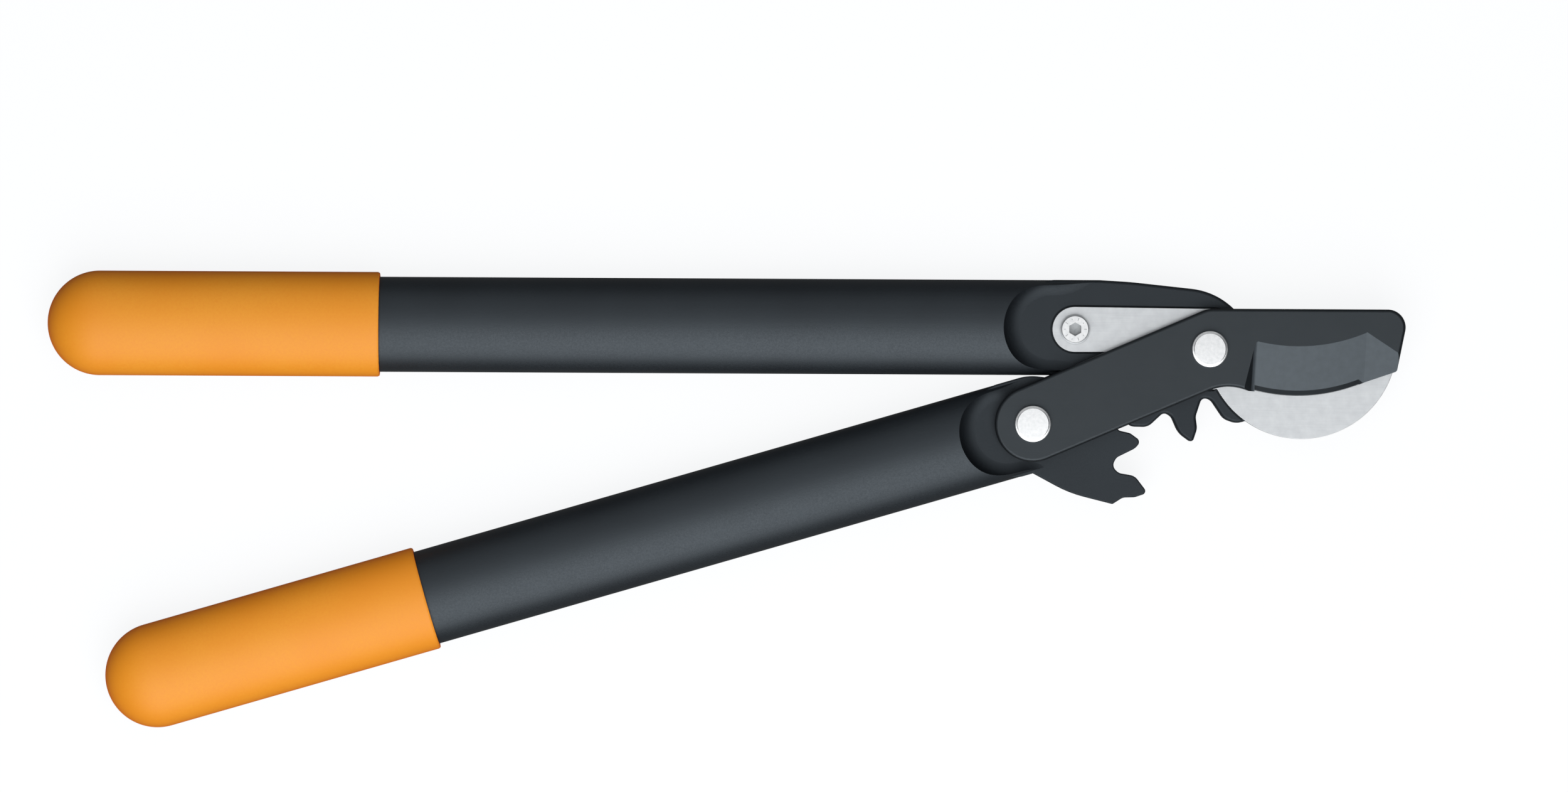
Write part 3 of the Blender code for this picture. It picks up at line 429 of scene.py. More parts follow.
def glass_filled_nylon(name, gloss, roughness):
    """Near-black nylon with the fine even grain of a spark-eroded tool, and given gloss."""
    material, tree, shader = new_finish(name, 0.0, roughness, 1.53, NYLON_SHEEN)
    shader.inputs["Specular IOR Level"].default_value = gloss
    place = add_node(tree, 'ShaderNodeTexCoord').outputs["Object"]
    grain = add_node(tree, 'ShaderNodeTexNoise', {
        "Vector": place, "Scale": 1 / GRAIN, "Detail": 3.0, "Roughness": 0.55}).outputs["Fac"]
    flow = add_node(tree, 'ShaderNodeTexNoise', {
        "Vector": place, "Scale": 1 / FLOW, "Detail": 2.0}).outputs["Fac"]
    blend = add_node(tree, 'ShaderNodeMath', {0: grain, 1: flow}, operation='MULTIPLY')
    spread = add_node(tree, 'ShaderNodeMapRange', {"Value": blend.outputs[0], 1: 0.12, 2: 0.4})
    tone = add_node(tree, 'ShaderNodeMix', {
        0: spread.outputs[0], 6: linear(NYLON_DARK), 7: linear(NYLON_LIGHT)}, data_type='RGBA')
    sheen = add_node(tree, 'ShaderNodeMapRange', {
        "Value": grain, 1: 0.3, 2: 0.7, 3: roughness - 0.05, 4: roughness + 0.05})
    relief = add_node(tree, 'ShaderNodeBump', {
        "Height": grain, "Strength": 0.25, "Distance": 0.04 * MM})
    tree.links.new(tone.outputs[2], shader.inputs["Base Color"])
    tree.links.new(sheen.outputs[0], shader.inputs["Roughness"])
    tree.links.new(relief.outputs[0], shader.inputs["Normal"])
    return material


tube_nylon = glass_filled_nylon("moulded_glass_filled_nylon", 0.7, 0.5)
plate_nylon = glass_filled_nylon("matt_glass_filled_nylon", 0.46, 0.55)
spread_turn = Matrix.Rotation(HANDLE_SPREAD, 4, 'Z')
lower_place = Matrix.Translation((*LOWER_PIVOT, 0)) @ spread_turn
lower_handle = moulded_handle("lower_moulding", 0.0, LOWER_SHOULDER, LOWER_FLARE, LOWER_REACH,
                              lower_outline())
lower_handle.data.transform(lower_place)
soften(lower_handle)
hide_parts("lower_handle")
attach(lower_handle, "lower_handle")

# Upper handle
# The same kind of moulding, with a longer gear plate that closes round the hook pivot. The hook
# lies in a pocket in its front, and a six-sided pocket behind holds the hook screw's nut.
UNDERSIDE_DROP = 9.0 * MM
UPPER_SHOULDER = 53.0 * MM
UPPER_FLARE = 16.0 * MM
UPPER_REACH = 390.9 * MM          # from the hook pivot to the end of the grip
UPPER_HUB_RADIUS = 16.5 * MM
UPPER_BACK_DROP = 0.6 * MM
UPPER_BACK_ROUNDING = 60 * MM
UPPER_CREST = (2.5 * MM, 19.4 * MM)
UPPER_CREST_ROUNDING = 24 * MM
UPPER_NOSE = (13.0 * MM, 8.9 * MM)
POCKET_CLEARANCE = 0.6 * MM
HOOK_HUB_RADIUS = 13.6 * MM
HOOK_OUTER_CENTRE = (30.9 * MM, 2.3 * MM)
HOOK_OUTER_RADIUS = 32.3 * MM
HOOK_INNER_CENTRE = (33.4 * MM, 19.9 * MM)
HOOK_INNER_RADIUS = 32.0 * MM
HOOK_TIP_TRIM = radians(1.5)
TANG_LENGTH = 45.2 * MM
TANG_RISE = 6.45 * MM
TANG_END_RADIUS = 7.6 * MM
SCREW_HOLE = 3.2 * MM
NUT_POCKET = 10.6 * MM
upper_axis = TUBE_WIDTH / 2 - UNDERSIDE_DROP
screw_place = (-TANG_LENGTH, TANG_RISE)
hook_low, hook_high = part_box("hook")
nut_low, nut_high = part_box("hook_nut")


def crossing(centre_a, radius_a, centre_b, radius_b, side):
    """Point where two circles cross, on the left (1) or right (-1) going from a to b."""
    a, b = Vector(centre_a), Vector(centre_b)
    apart = (b - a).length
    along = (b - a) / apart
    reach = (apart ** 2 + radius_a ** 2 - radius_b ** 2) / (2 * apart)
    offset = side * (radius_a ** 2 - reach ** 2) ** 0.5
    return a + along * reach + Vector((-along.y, along.x)) * offset


def upper_outline():
    """Upper gear plate: handle stub, crest, hub, then the teeth from the hook's side back."""
    def tooth(angle, radius, rounding):
        return polar(centre_line + angle, radius, rounding)

    underside = -(UNDERSIDE_DROP + PLATE_PROUD)
    topside = upper_axis + boss_radius
    valleys = [pivot_spacing - tip - TOOTH_CLEARANCE
               for _, tip in (LOWER_TOOTH_1, LOWER_TOOTH_2, LOWER_TOOTH_3)]
    meets = [angle * GEAR_RATIO for angle, _ in (LOWER_TOOTH_1, LOWER_TOOTH_2, LOWER_TOOTH_3)]
    angle_1, tip_1 = UPPER_TOOTH_1
    angle_2, tip_2 = UPPER_TOOTH_2
    angle_3, tip_3 = UPPER_TOOTH_3
    return [
        (-UPPER_SHOULDER - stub_length, topside - STUB_TAPER, 0),
        (-UPPER_SHOULDER, topside, STUB_ROUNDING),
        (-UPPER_SHOULDER + UPPER_FLARE, topside, STUB_ROUNDING),
        (-UPPER_SHOULDER / 2, topside - UPPER_BACK_DROP, UPPER_BACK_ROUNDING),
        (*UPPER_CREST, UPPER_CREST_ROUNDING),
        (*UPPER_NOSE, 4 * MM),
        (UPPER_HUB_RADIUS, UPPER_HUB_RADIUS * 0.2, 8 * MM),
        (UPPER_HUB_RADIUS * 0.9, -UPPER_HUB_RADIUS * 0.85, 8 * MM),
        tooth(angle_3 + radians(5), tip_3 + 0.5 * MM, 3.0 * MM),
        tooth(angle_3 - radians(6), tip_3 - 0.7 * MM, 5.0 * MM),
        tooth(angle_3 - radians(14), tip_3 - 3.2 * MM, 5.0 * MM),
        tooth(meets[2] + radians(3.9), valleys[2] - 1.9 * MM, 4.0 * MM),
        tooth(meets[2] - radians(6.1), valleys[2] - 1.9 * MM, 2.2 * MM),
        tooth(angle_2 - radians(1.2), tip_2 - 9.1 * MM, 4.0 * MM),
        tooth(angle_2 + radians(1.6), tip_2 - 5.1 * MM, 5.0 * MM),
        tooth(angle_2, tip_2, 1.1 * MM),
        tooth(angle_2 - radians(10), tip_2 - 2.1 * MM, 8.0 * MM),
        tooth(meets[1] - radians(0.3), valleys[1] - 0.8 * MM, 3.0 * MM),
        tooth(meets[1] - radians(6.8), valleys[1] - 0.8 * MM, 2.0 * MM),
        tooth(angle_1 + radians(11.4), tip_1 - 3.7 * MM, 4.5 * MM),
        tooth(angle_1 + radians(4), tip_1 + 0.2 * MM, 3.6 * MM),
        tooth(angle_1 - radians(4), tip_1, 1.8 * MM),
        tooth(meets[0] + radians(9.3), valleys[0] - 0.8 * MM, 1.8 * MM),
        tooth(meets[0] - radians(1.7), valleys[0] - 0.8 * MM, 1.5 * MM),
        (LOWER_PIVOT.x / 2, underside, 1.5 * MM),
        (-UPPER_SHOULDER, underside, STUB_ROUNDING),
        (-UPPER_SHOULDER - stub_length, underside + STUB_TAPER, 0),
    ]


def hook_outline(grow=0.0):
    """Hook: tang with a round end, hub round the pivot, and a crescent between two arcs."""
    tang_radius = TANG_END_RADIUS + grow
    hub_radius = HOOK_HUB_RADIUS + grow
    outer, inner = HOOK_OUTER_RADIUS + grow, HOOK_INNER_RADIUS - grow
    tang_bottom = TANG_RISE - tang_radius
    throat = crossing((0, 0), hub_radius, HOOK_OUTER_CENTRE, outer, -1)
    tip = crossing(HOOK_OUTER_CENTRE, outer, HOOK_INNER_CENTRE, inner, -1)
    root = crossing((0, 0), hub_radius, HOOK_INNER_CENTRE, inner, -1)
    outline = arc(screw_place, tang_radius, pi / 2, 3 * pi / 2, 48)
    hub_start = 2 * pi - acos(-((hub_radius ** 2 - tang_bottom ** 2) ** 0.5) / hub_radius)
    outline += arc((0, 0), hub_radius, hub_start, bearing(throat) + 2 * pi, 24)
    outer_start = bearing(throat, HOOK_OUTER_CENTRE) + 2 * pi
    outer_end = bearing(tip, HOOK_OUTER_CENTRE) + 2 * pi
    if outer_end < outer_start:
        outer_end += 2 * pi
    outline += arc(HOOK_OUTER_CENTRE, outer, outer_start, outer_end - HOOK_TIP_TRIM, 120)[1:]
    inner_start = bearing(tip, HOOK_INNER_CENTRE)
    inner_end = bearing(root, HOOK_INNER_CENTRE)
    if inner_end > inner_start:
        inner_end -= 2 * pi
    outline += arc(HOOK_INNER_CENTRE, inner, inner_start - HOOK_TIP_TRIM, inner_end, 60)
    outline += arc((0, 0), hub_radius, bearing(root), pi / 2, 36)[1:]
    return outline


def six_sides(width, centre, start=0.0):
    """Hexagon of a given width across flats, with a corner at a start angle."""
    return arc(centre, width / 2 / cos(pi / 6), start, start + 5 * pi / 3, 5)


upper_handle = moulded_handle("upper_moulding", upper_axis, UPPER_SHOULDER, UPPER_FLARE, UPPER_REACH,
                              upper_outline())
above = handle_middle + TUBE_HEIGHT
combine(upper_handle, plate("hook_pocket", hook_outline(POCKET_CLEARANCE), hook_low.z - GAP, above,
                            0, 0, 1))
combine(upper_handle, round_cutter("screw_drill", SCREW_HOLE, 0, above, screw_place))
combine(upper_handle, plate("nut_pocket", six_sides(NUT_POCKET, screw_place), 0, nut_high.z + GAP,
                            0, 0, 1))
soften(upper_handle)
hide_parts("upper_handle")
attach(upper_handle, "upper_handle")

# Bushes
# Steel sleeves pressed into both gear plates, turned from bar and left bright. Only their end
# faces show when the tool is apart, with the fine rings that the turning leaves.
material, tree, shader = new_finish("turned_bright_steel", 1.0, 0.28)
rings = add_node(tree, 'ShaderNodeTexNoise', {
    "Vector": add_node(tree, 'ShaderNodeTexCoord').outputs["Object"],
    "Scale": 1 / (0.5 * MM), "Detail": 2.0})
tone = add_node(tree, 'ShaderNodeMix', {
    0: rings.outputs["Fac"], 6: linear("#B4B6B8"), 7: linear("#C9CBCD")}, data_type='RGBA')
tree.links.new(tone.outputs[2], shader.inputs["Base Color"])
for name in ("upper_bush", "lower_bush"):
    frame["nodes"][name].data.materials[0] = material

# Hook
# Blanked from spring steel, ground flat on both faces and tumbled, so its faces are satin with
# faint lines along the tang and its rim is a thin bright bevel. It is left uncoated, and the
# tang is spot faced for the screw's head.
HOOK_EDGE = 0.15 * MM
TUMBLED_METALLIC = 0.8            # tumbling leaves a skin that scatters some of the light
SPOT_FACE_RADIUS = 5.15 * MM
SPOT_FACE_DEPTH = 0.5 * MM
STEEL_DARK = "#BABDC0"
STEEL_LIGHT = "#C9CCCE"
STEEL_LINE = (14 * MM, 0.3 * MM)  # length and width of a line left by grinding
STEEL_MOTTLE = 3.2 * MM
satin_steel, tree, shader = new_finish("satin_ground_steel", TUMBLED_METALLIC, 0.38)
place = add_node(tree, 'ShaderNodeTexCoord').outputs["Object"]
along = add_node(tree, 'ShaderNodeMapping', {
    "Vector": place, "Scale": (1 / STEEL_LINE[0], 1 / STEEL_LINE[1], 1 / STEEL_LINE[1])})
lines = add_node(tree, 'ShaderNodeTexNoise', {
    "Vector": along.outputs[0], "Scale": 1.0, "Detail": 3.0, "Roughness": 0.6}).outputs["Fac"]
mottle = add_node(tree, 'ShaderNodeTexNoise', {
    "Vector": place, "Scale": 1 / STEEL_MOTTLE, "Detail": 4.0, "Roughness": 0.6}).outputs["Fac"]
blend = add_node(tree, 'ShaderNodeMix', {0: 0.55, 2: lines, 3: mottle})
spread = add_node(tree, 'ShaderNodeMapRange', {"Value": blend.outputs[0], 1: 0.35, 2: 0.65})
tone = add_node(tree, 'ShaderNodeMix', {
    0: spread.outputs[0], 6: linear(STEEL_DARK), 7: linear(STEEL_LIGHT)}, data_type='RGBA')
sheen = add_node(tree, 'ShaderNodeMapRange', {"Value": lines, 1: 0.3, 2: 0.7, 3: 0.34, 4: 0.46})
relief = add_node(tree, 'ShaderNodeBump', {"Height": lines, "Strength": 0.1, "Distance": 0.02 * MM})
tree.links.new(tone.outputs[2], shader.inputs["Base Color"])
tree.links.new(sheen.outputs[0], shader.inputs["Roughness"])
tree.links.new(relief.outputs[0], shader.inputs["Normal"])
hook = plate("satin_hook", hook_outline(), hook_low.z, hook_high.z, HOOK_EDGE, HOOK_EDGE, 3,
             satin_steel)
combine(hook, round_cutter("drill", SHANK_HOLE, 0, above, HOOK_PIVOT))
combine(hook, round_cutter("drill", SCREW_HOLE, 0, above, screw_place))
combine(hook, round_cutter("spot_face", SPOT_FACE_RADIUS, hook_high.z - SPOT_FACE_DEPTH, above,
                           screw_place))
soften(hook)
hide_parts("hook")
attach(hook, "upper_handle")

# Hook screw and nut
# A low button screw through the tang, cold headed with a hexagon socket and short raised dashes
# round its face, and a thin nut behind. Both are zinc plated: pale, bright and a little cloudy.
SCREW_HEAD_RADIUS = 4.8 * MM
SCREW_SHANK_RADIUS = 2.9 * MM
SOCKET_WIDTH = 4.0 * MM
SOCKET_DEPTH = 2.1 * MM
SOCKET_TURN = radians(30)
SOCKET_CONE = 0.15 * MM
SOCKET_CONE_RADIUS = 2.4 * MM
HEAD_FACE = 4.5 * MM
HEAD_FACE_RING = 0.35 * MM        # plain ring inside the face's edge, which keeps its shading even
HEAD_SHOULDER = 1.1 * MM          # how far the rounded shoulder falls below the face
SEAT_GAP = 0.02 * MM              # between a head and what it sits on
NUT_WIDTH = 10.0 * MM
MARK_COUNT = 10
MARK_RING = 3.45 * MM
MARK_SIZE = (0.95 * MM, 0.2 * MM, 0.3 * MM)
SPINE_RADIUS = 10 * MM            # circle that a turned profile is swept round
FILLET_POINTS = 8                 # for each millimetre of a fillet's radius
MOST_FILLET_POINTS = 40
ZINC_DARK = "#D3D5D6"
ZINC_LIGHT = "#DFE0E1"
ZINC_CLOUD = 1.1 * MM
# darker zinc tones for the socket: painted shade
SOCKET_SHADE_DARK = "#8D9092"
SOCKET_SHADE_LIGHT = "#A3A6A8"
zinc_plating, tree, shader = new_finish("bright_zinc_plating", 1.0, 0.3)
clouds = add_node(tree, 'ShaderNodeTexNoise', {
    "Vector": add_node(tree, 'ShaderNodeTexCoord').outputs["Object"],
    "Scale": 1 / ZINC_CLOUD, "Detail": 4.0, "Roughness": 0.6})
spread = add_node(tree, 'ShaderNodeMapRange', {"Value": clouds.outputs["Fac"], 1: 0.35, 2: 0.65})
tone = add_node(tree, 'ShaderNodeMix', {
    0: spread.outputs[0], 6: linear(ZINC_DARK), 7: linear(ZINC_LIGHT)}, data_type='RGBA')
sheen = add_node(tree, 'ShaderNodeMapRange', {"Value": clouds.outputs["Fac"], 3: 0.26, 4: 0.36})
relief = add_node(tree, 'ShaderNodeBump', {
    "Height": clouds.outputs["Fac"], "Strength": 0.08, "Distance": 0.03 * MM})
tree.links.new(tone.outputs[2], shader.inputs["Base Color"])
tree.links.new(sheen.outputs[0], shader.inputs["Roughness"])
tree.links.new(relief.outputs[0], shader.inputs["Normal"])

# Down in the socket the plating is rougher, and its darker colour is painted shade standing in for the
# shade in the recess
socket_painted_shade, tree, shader = new_finish("zinc_with_painted_shade_in_socket", 1.0, 0.45)
specks = add_node(tree, 'ShaderNodeTexNoise', {
    "Vector": add_node(tree, 'ShaderNodeTexCoord').outputs["Object"], "Scale": 1 / (0.6 * MM)})
tone = add_node(tree, 'ShaderNodeMix', {
    0: specks.outputs["Fac"], 6: linear(SOCKET_SHADE_DARK), 7: linear(SOCKET_SHADE_LIGHT)},
    data_type='RGBA')
tree.links.new(tone.outputs[2], shader.inputs["Base Color"])


def new_tree(name, sizes):
    """Geometry Nodes tree with a geometry and named sizes going in; returns those sockets too."""
    tree = bpy.data.node_groups.new(name, 'GeometryNodeTree')
    tree.interface.new_socket("Geometry", in_out='INPUT', socket_type='NodeSocketGeometry')
    for label, kind in sizes.items():
        tree.interface.new_socket(label, in_out='INPUT', socket_type='NodeSocket' + kind)
    tree.interface.new_socket("Geometry", in_out='OUTPUT', socket_type='NodeSocketGeometry')
    return tree, add_node(tree, 'NodeGroupInput').outputs


def end_tree(tree, geometry, finish):
    """Last nodes of a tree: real geometry in one material."""
    real = add_node(tree, 'GeometryNodeRealizeInstances', {0: geometry})
    painted = add_node(tree, 'GeometryNodeSetMaterial', {0: real.outputs[0], "Material": finish})
    add_node(tree, 'NodeGroupOutput', {0: painted.outputs[0]})


def run_tree(piece, tree, sizes):
    """Runs a tree on a piece, its inputs set by identifier, and keeps the result as its mesh."""
    step = piece.modifiers.new(tree.name, 'NODES')
    step.node_group = tree
    for item in tree.interface.items_tree:
        if item.in_out == 'INPUT' and item.name in sizes:
            step[item.identifier] = sizes[item.name]
    settle(piece)


# Turns a profile into as many round pieces as asked, each a step further on
turning, given = new_tree("turned_pieces", {
    "Sides": 'Int', "Count": 'Int', "Step": 'Vector', "Finish": 'Material'})
profile = add_node(turning, 'GeometryNodeMeshToCurve', {"Mesh": given["Geometry"]})
radius = add_node(turning, 'GeometryNodeInputNamedAttribute', {"Name": "fillet"}, data_type='FLOAT')
points = add_node(turning, 'GeometryNodeInputNamedAttribute', {"Name": "fillet_points"}, data_type='INT')
eased = add_node(turning, 'GeometryNodeFilletCurve', {
    "Curve": profile.outputs[0], "Radius": radius.outputs[0], "Count": points.outputs[0],
    "Limit Radius": True}, mode='POLY')
spine = add_node(turning, 'GeometryNodeCurvePrimitiveCircle', {
    "Resolution": given["Sides"], "Radius": SPINE_RADIUS}, mode='RADIUS')
swept = add_node(turning, 'GeometryNodeCurveToMesh', {
    "Curve": spine.outputs[0], "Profile Curve": eased.outputs[0]})
closed = add_node(turning, 'GeometryNodeMergeByDistance', {
    "Geometry": swept.outputs[0], "Distance": MM / 1000})
places = add_node(turning, 'GeometryNodeMeshLine', {"Count": given["Count"], "Offset": given["Step"]})
copies = add_node(turning, 'GeometryNodeInstanceOnPoints', {
    "Points": places.outputs[0], "Instance": closed.outputs[0]})
end_tree(turning, copies.outputs[0], given["Finish"])


def turned(name, corners, sides, finish, count=1, step=(0, 0, 0)):
    """Round piece from profile corners (radius, height, fillet), top to bottom."""
    mesh = bpy.data.meshes.new(name)
    mesh.from_pydata([(r - SPINE_RADIUS, -height, 0) for r, height, _ in corners],
                     [(i, i + 1) for i in range(len(corners) - 1)], [])
    fillets = mesh.attributes.new("fillet", 'FLOAT', 'POINT')
    fillets.data.foreach_set("value", [corner[2] for corner in corners])
    counts = mesh.attributes.new("fillet_points", 'INT', 'POINT')
    counts.data.foreach_set("value", [
        max(1, min(MOST_FILLET_POINTS, round(fillet / MM * FILLET_POINTS))) for _, _, fillet in corners])
    piece = new_piece(name, mesh)
    run_tree(piece, turning, {"Sides": sides, "Count": count, "Step": step, "Finish": finish})
    shape = bmesh.new()
    shape.from_mesh(piece.data)
    bmesh.ops.recalc_face_normals(shape, faces=shape.faces)
    shape.to_mesh(piece.data)
    shape.free()
    return piece


# Stands raised dashes in a ring, every second one short, each pointing at the middle
marking, given = new_tree("ring_of_dashes", {
    "Count": 'Int', "Ring": 'Float', "Dash": 'Vector', "Finish": 'Material'})
ring = add_node(marking, 'GeometryNodeMeshCircle', {"Vertices": given["Count"], "Radius": given["Ring"]})
dash = add_node(marking, 'GeometryNodeMeshCube', {"Size": given["Dash"]})
index = add_node(marking, 'GeometryNodeInputIndex')
turn = add_node(marking, 'ShaderNodeMath', {0: 2 * pi, 1: given["Count"]}, operation='DIVIDE')
heading = add_node(marking, 'ShaderNodeMath', {0: index.outputs[0], 1: turn.outputs[0]},
                   operation='MULTIPLY')
facing = add_node(marking, 'ShaderNodeCombineXYZ', {"Z": heading.outputs[0]})
odd = add_node(marking, 'ShaderNodeMath', {0: index.outputs[0], 1: 2.0}, operation='MODULO')
length = add_node(marking, 'ShaderNodeMapRange', {"Value": odd.outputs[0], 3: 1.0, 4: 0.4})
stretch = add_node(marking, 'ShaderNodeCombineXYZ', {"X": length.outputs[0], "Y": 1.0, "Z": 1.0})
dashes = add_node(marking, 'GeometryNodeInstanceOnPoints', {
    "Points": ring.outputs[0], "Instance": dash.outputs[0], "Rotation": facing.outputs[0],
    "Scale": stretch.outputs[0]})
end_tree(marking, dashes.outputs[0], given["Finish"])

screw_low, screw_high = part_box("hook_screw")
seat = hook_high.z - SPOT_FACE_DEPTH + SEAT_GAP
screw = turned("plated_screw", [
    (0, screw_high.z, 0), (HEAD_FACE - HEAD_FACE_RING, screw_high.z, 0),
    (HEAD_FACE, screw_high.z, 0.15 * MM),
    (SCREW_HEAD_RADIUS, screw_high.z - HEAD_SHOULDER, 0.2 * MM), (SCREW_HEAD_RADIUS, seat, 0),
    (SCREW_SHANK_RADIUS, seat, 0), (SCREW_SHANK_RADIUS, screw_low.z, 0.3 * MM), (0, screw_low.z, 0)],
    ROUND_SIDES, zinc_plating)
socket_floor = screw_high.z - SOCKET_DEPTH
socket = plate("socket", six_sides(SOCKET_WIDTH, (0, 0), SOCKET_TURN), socket_floor, above, 0, 0, 1)
combine(socket, round_cutter("socket_cone", SOCKET_CONE_RADIUS, socket_floor - SOCKET_CONE,
                             socket_floor + MM / 100, (0, 0), tip=0.05 * MM), 'UNION')
# the socket's faces take the zinc with painted shade
socket.data.materials.clear()
socket.data.materials.append(socket_painted_shade)
combine(screw, socket)
marks = new_piece("dashes", bpy.data.meshes.new("dashes"))
run_tree(marks, marking, {"Count": MARK_COUNT, "Ring": MARK_RING, "Dash": MARK_SIZE,
                          "Finish": zinc_plating})
marks.data.transform(Matrix.Translation((0, 0, screw_high.z)))
stamped = bmesh.new()
stamped.from_mesh(screw.data)
stamped.from_mesh(marks.data)
stamped.to_mesh(screw.data)
stamped.free()
bpy.data.objects.remove(marks)
screw.data.transform(Matrix.Translation((*screw_place, 0)))
soften(screw)
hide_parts("hook_screw")
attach(screw, "upper_handle")

nut = plate("plated_nut", six_sides(NUT_WIDTH, screw_place), nut_low.z, nut_high.z, 0.3 * MM,
            0.5 * MM, 3, zinc_plating)
combine(nut, round_cutter("tap", SCREW_HOLE, 0, above, screw_place))
soften(nut)
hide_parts("hook_nut")
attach(nut, "upper_handle")

# Blade
# Forged tool steel with an arm that reaches back over both pivots. Its edges are rounded, a
# wheel has ground one long hollow face down to the edge, and a flat is ground on the nose. The
# whole is sprayed with the grey coating, and only the edge is honed bright after that.
BLADE_EDGE = 1.1 * MM
BLADE_REAR_EDGE = 0.2 * MM
BLADE_TOP = 13.6 * MM
BLADE_REACH = 67.1 * MM
HEEL_FILLET = 10.0 * MM
TOE_FILLET = 6.0 * MM
TOE_BOTTOM = (62.9 * MM, -7.2 * MM)
TOE_CORNER = 1.2 * MM
ARM_CORNER = 1.0 * MM
EDGE_CENTRE = (29.5 * MM, 41.4 * MM)
EDGE_RADIUS = 57.0 * MM
EDGE_START = 17.3 * MM
EDGE_END = 52.4 * MM
EDGE_HEEL = (13.2 * MM, -13.98 * MM, 4.0 * MM)
CHOIL = (6.3 * MM, -11.75 * MM, 16.0 * MM)
CHOIL_SETBACK = 5.0 * MM
GRIND_CENTRE = Vector((29.7 * MM, 59.6 * MM))
GRIND_RADIUS = 58.5 * MM          # of the arc where the ground face starts
GRIND_SPAN = (2 * MM, 76 * MM)    # longer than the ground face, whose ends are cut off it
GRIND_SLOPE = 2.5 / 14.8          # falls 2.5 mm over the 14.8 mm down to the edge
STRIP_SLOPE = 0.78                # steeper strip along the edge
STRIP_START = 15.2 * MM
STRIP_END = 53.3 * MM
STRIP_END_SLANT = 3.2 * MM
STRIP_END_FALL = 0.55             # how far that end falls for each step along X
CUTTER_LENGTH = 32 * MM
EDGE_LAND = 0.06 * MM
HONE_SLOPE = 1.0
HONE_LAND = 0.01 * MM
STEP_START = 15.5 * MM            # wall at the rear end of the ground face
STEP_LINE = Vector((-4.0, -16.2, 0))   # direction that its foot runs in
STEP_SLOPE = radians(42)
STEP_HOLLOW = 2.0 * MM            # radius at the foot of that wall
STEP_REACH = 40 * MM
NOSE_START = 52.9 * MM
NOSE_TOP_END = Vector((64.1 * MM, -1.5 * MM))
NOSE_VALLEY_END = Vector((52.2 * MM, -8.1 * MM))
# tones of the ground face, paler than the coating: painted light
BEVEL_DARK = "#3A3F44"
BEVEL_LIGHT = "#41474C"
BEVEL_LINES = 0.5 * MM            # grinding lines, which cross the face from back to edge
blade_low, blade_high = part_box("blade")
blade_bottom, blade_face = blade_low.z, blade_high.z


def blade_outline():
    """Blade: arm back to the lower pivot, straight top, toe, curved edge and choil."""
    arm = -LOWER_PIVOT.normalized()
    side = Vector((-arm.y, arm.x)) * ARM_WIDTH / 2
    heel = side + arm * (BLADE_TOP - side.y) / arm.y
    arm_end = -side - arm * CHOIL_SETBACK
    first = acos((EDGE_END - EDGE_CENTRE[0]) / EDGE_RADIUS)
    last = acos((EDGE_START - EDGE_CENTRE[0]) / EDGE_RADIUS)
    corners = [(heel.x, heel.y, HEEL_FILLET),
               (BLADE_REACH, BLADE_TOP, TOE_FILLET),
               (*TOE_BOTTOM, TOE_CORNER)]
    corners += [(x, y, 0) for x, y in arc(EDGE_CENTRE, EDGE_RADIUS, -first, -last, 80)]
    corners += [EDGE_HEEL, CHOIL, (arm_end.x, arm_end.y, ARM_CORNER)]
    outward = bearing(LOWER_PIVOT)
    end = arc(LOWER_PIVOT, ARM_WIDTH / 2, outward + pi / 2, outward - pi / 2, 64)
    return rounded(corners + [(x, y, 0) for x, y in end])


def wheel_cut(name, centre, radius, start, stop, slant, height, slope, finish):
    """Cutter under an arc from start to stop along X. Its face holds that arc at a given height
    and climbs towards +Y, and its far end slants towards the edge."""
    first = acos((start - centre[0]) / radius)
    last = acos((stop - slant - centre[0]) / radius)
    drop = centre[1] - radius - CUTTER_LENGTH
    outline = arc(centre, radius, -first, -last, 110)
    outline += [(stop, outline[-1][1] - slant * STRIP_END_FALL), (stop, drop), (start, drop)]
    piece = plate(name, outline, blade_bottom - MM, blade_face + MM / 2, 0, 0, 1, finish)
    lean = Matrix.Identity(4)
    lean[1][2] = 1 / slope
    lift = Matrix.Translation((0, 0, height))
    piece.data.transform(lift @ lean @ lift.inverted())
    return piece


def arc_height(x):
    """Where the ground face's top line runs at a place along X."""
    return GRIND_CENTRE.y - (GRIND_RADIUS ** 2 - (x - GRIND_CENTRE.x) ** 2) ** 0.5


def ground_normal(x):
    """Direction of the ground face at a place along X."""
    fall = (x - GRIND_CENTRE.x) / (GRIND_CENTRE.y - arc_height(x))
    return Vector((fall * GRIND_SLOPE, -GRIND_SLOPE, 1)).normalized()


def slab(name, point, along, normal, *materials):
    """Big block behind a plane through a point, with the normal pointing away from it."""
    size = 120 * MM
    shape = bmesh.new()
    bmesh.ops.create_cube(shape, size=size)
    across = normal.cross(along).normalized()
    turn = Matrix((along.normalized(), across, normal.normalized())).transposed().to_4x4()
    middle = Vector(point) - normal.normalized() * size / 2
    bmesh.ops.transform(shape, matrix=Matrix.Translation(middle) @ turn, verts=shape.verts)
    bmesh.ops.recalc_face_normals(shape, faces=shape.faces)
    return from_shape(name, shape, *materials)


def hollow(name, foot, floor, wall, radius, reach, steps, finish):
    """Prism that fills the corner between a floor and a wall up to a hollow of some radius."""
    between = floor.angle(wall)
    out = (wall - floor * wall.dot(floor)).normalized()
    centre = foot + radius * (out * tan(between / 2) + floor)
    section = [foot - (floor + wall) * radius / 4]
    section += [centre - radius * floor.slerp(wall, step / steps) for step in range(steps + 1)]
    along = floor.cross(wall).normalized() * reach
    return from_shape(name, prism([point - along for point in section], along * 2), finish)
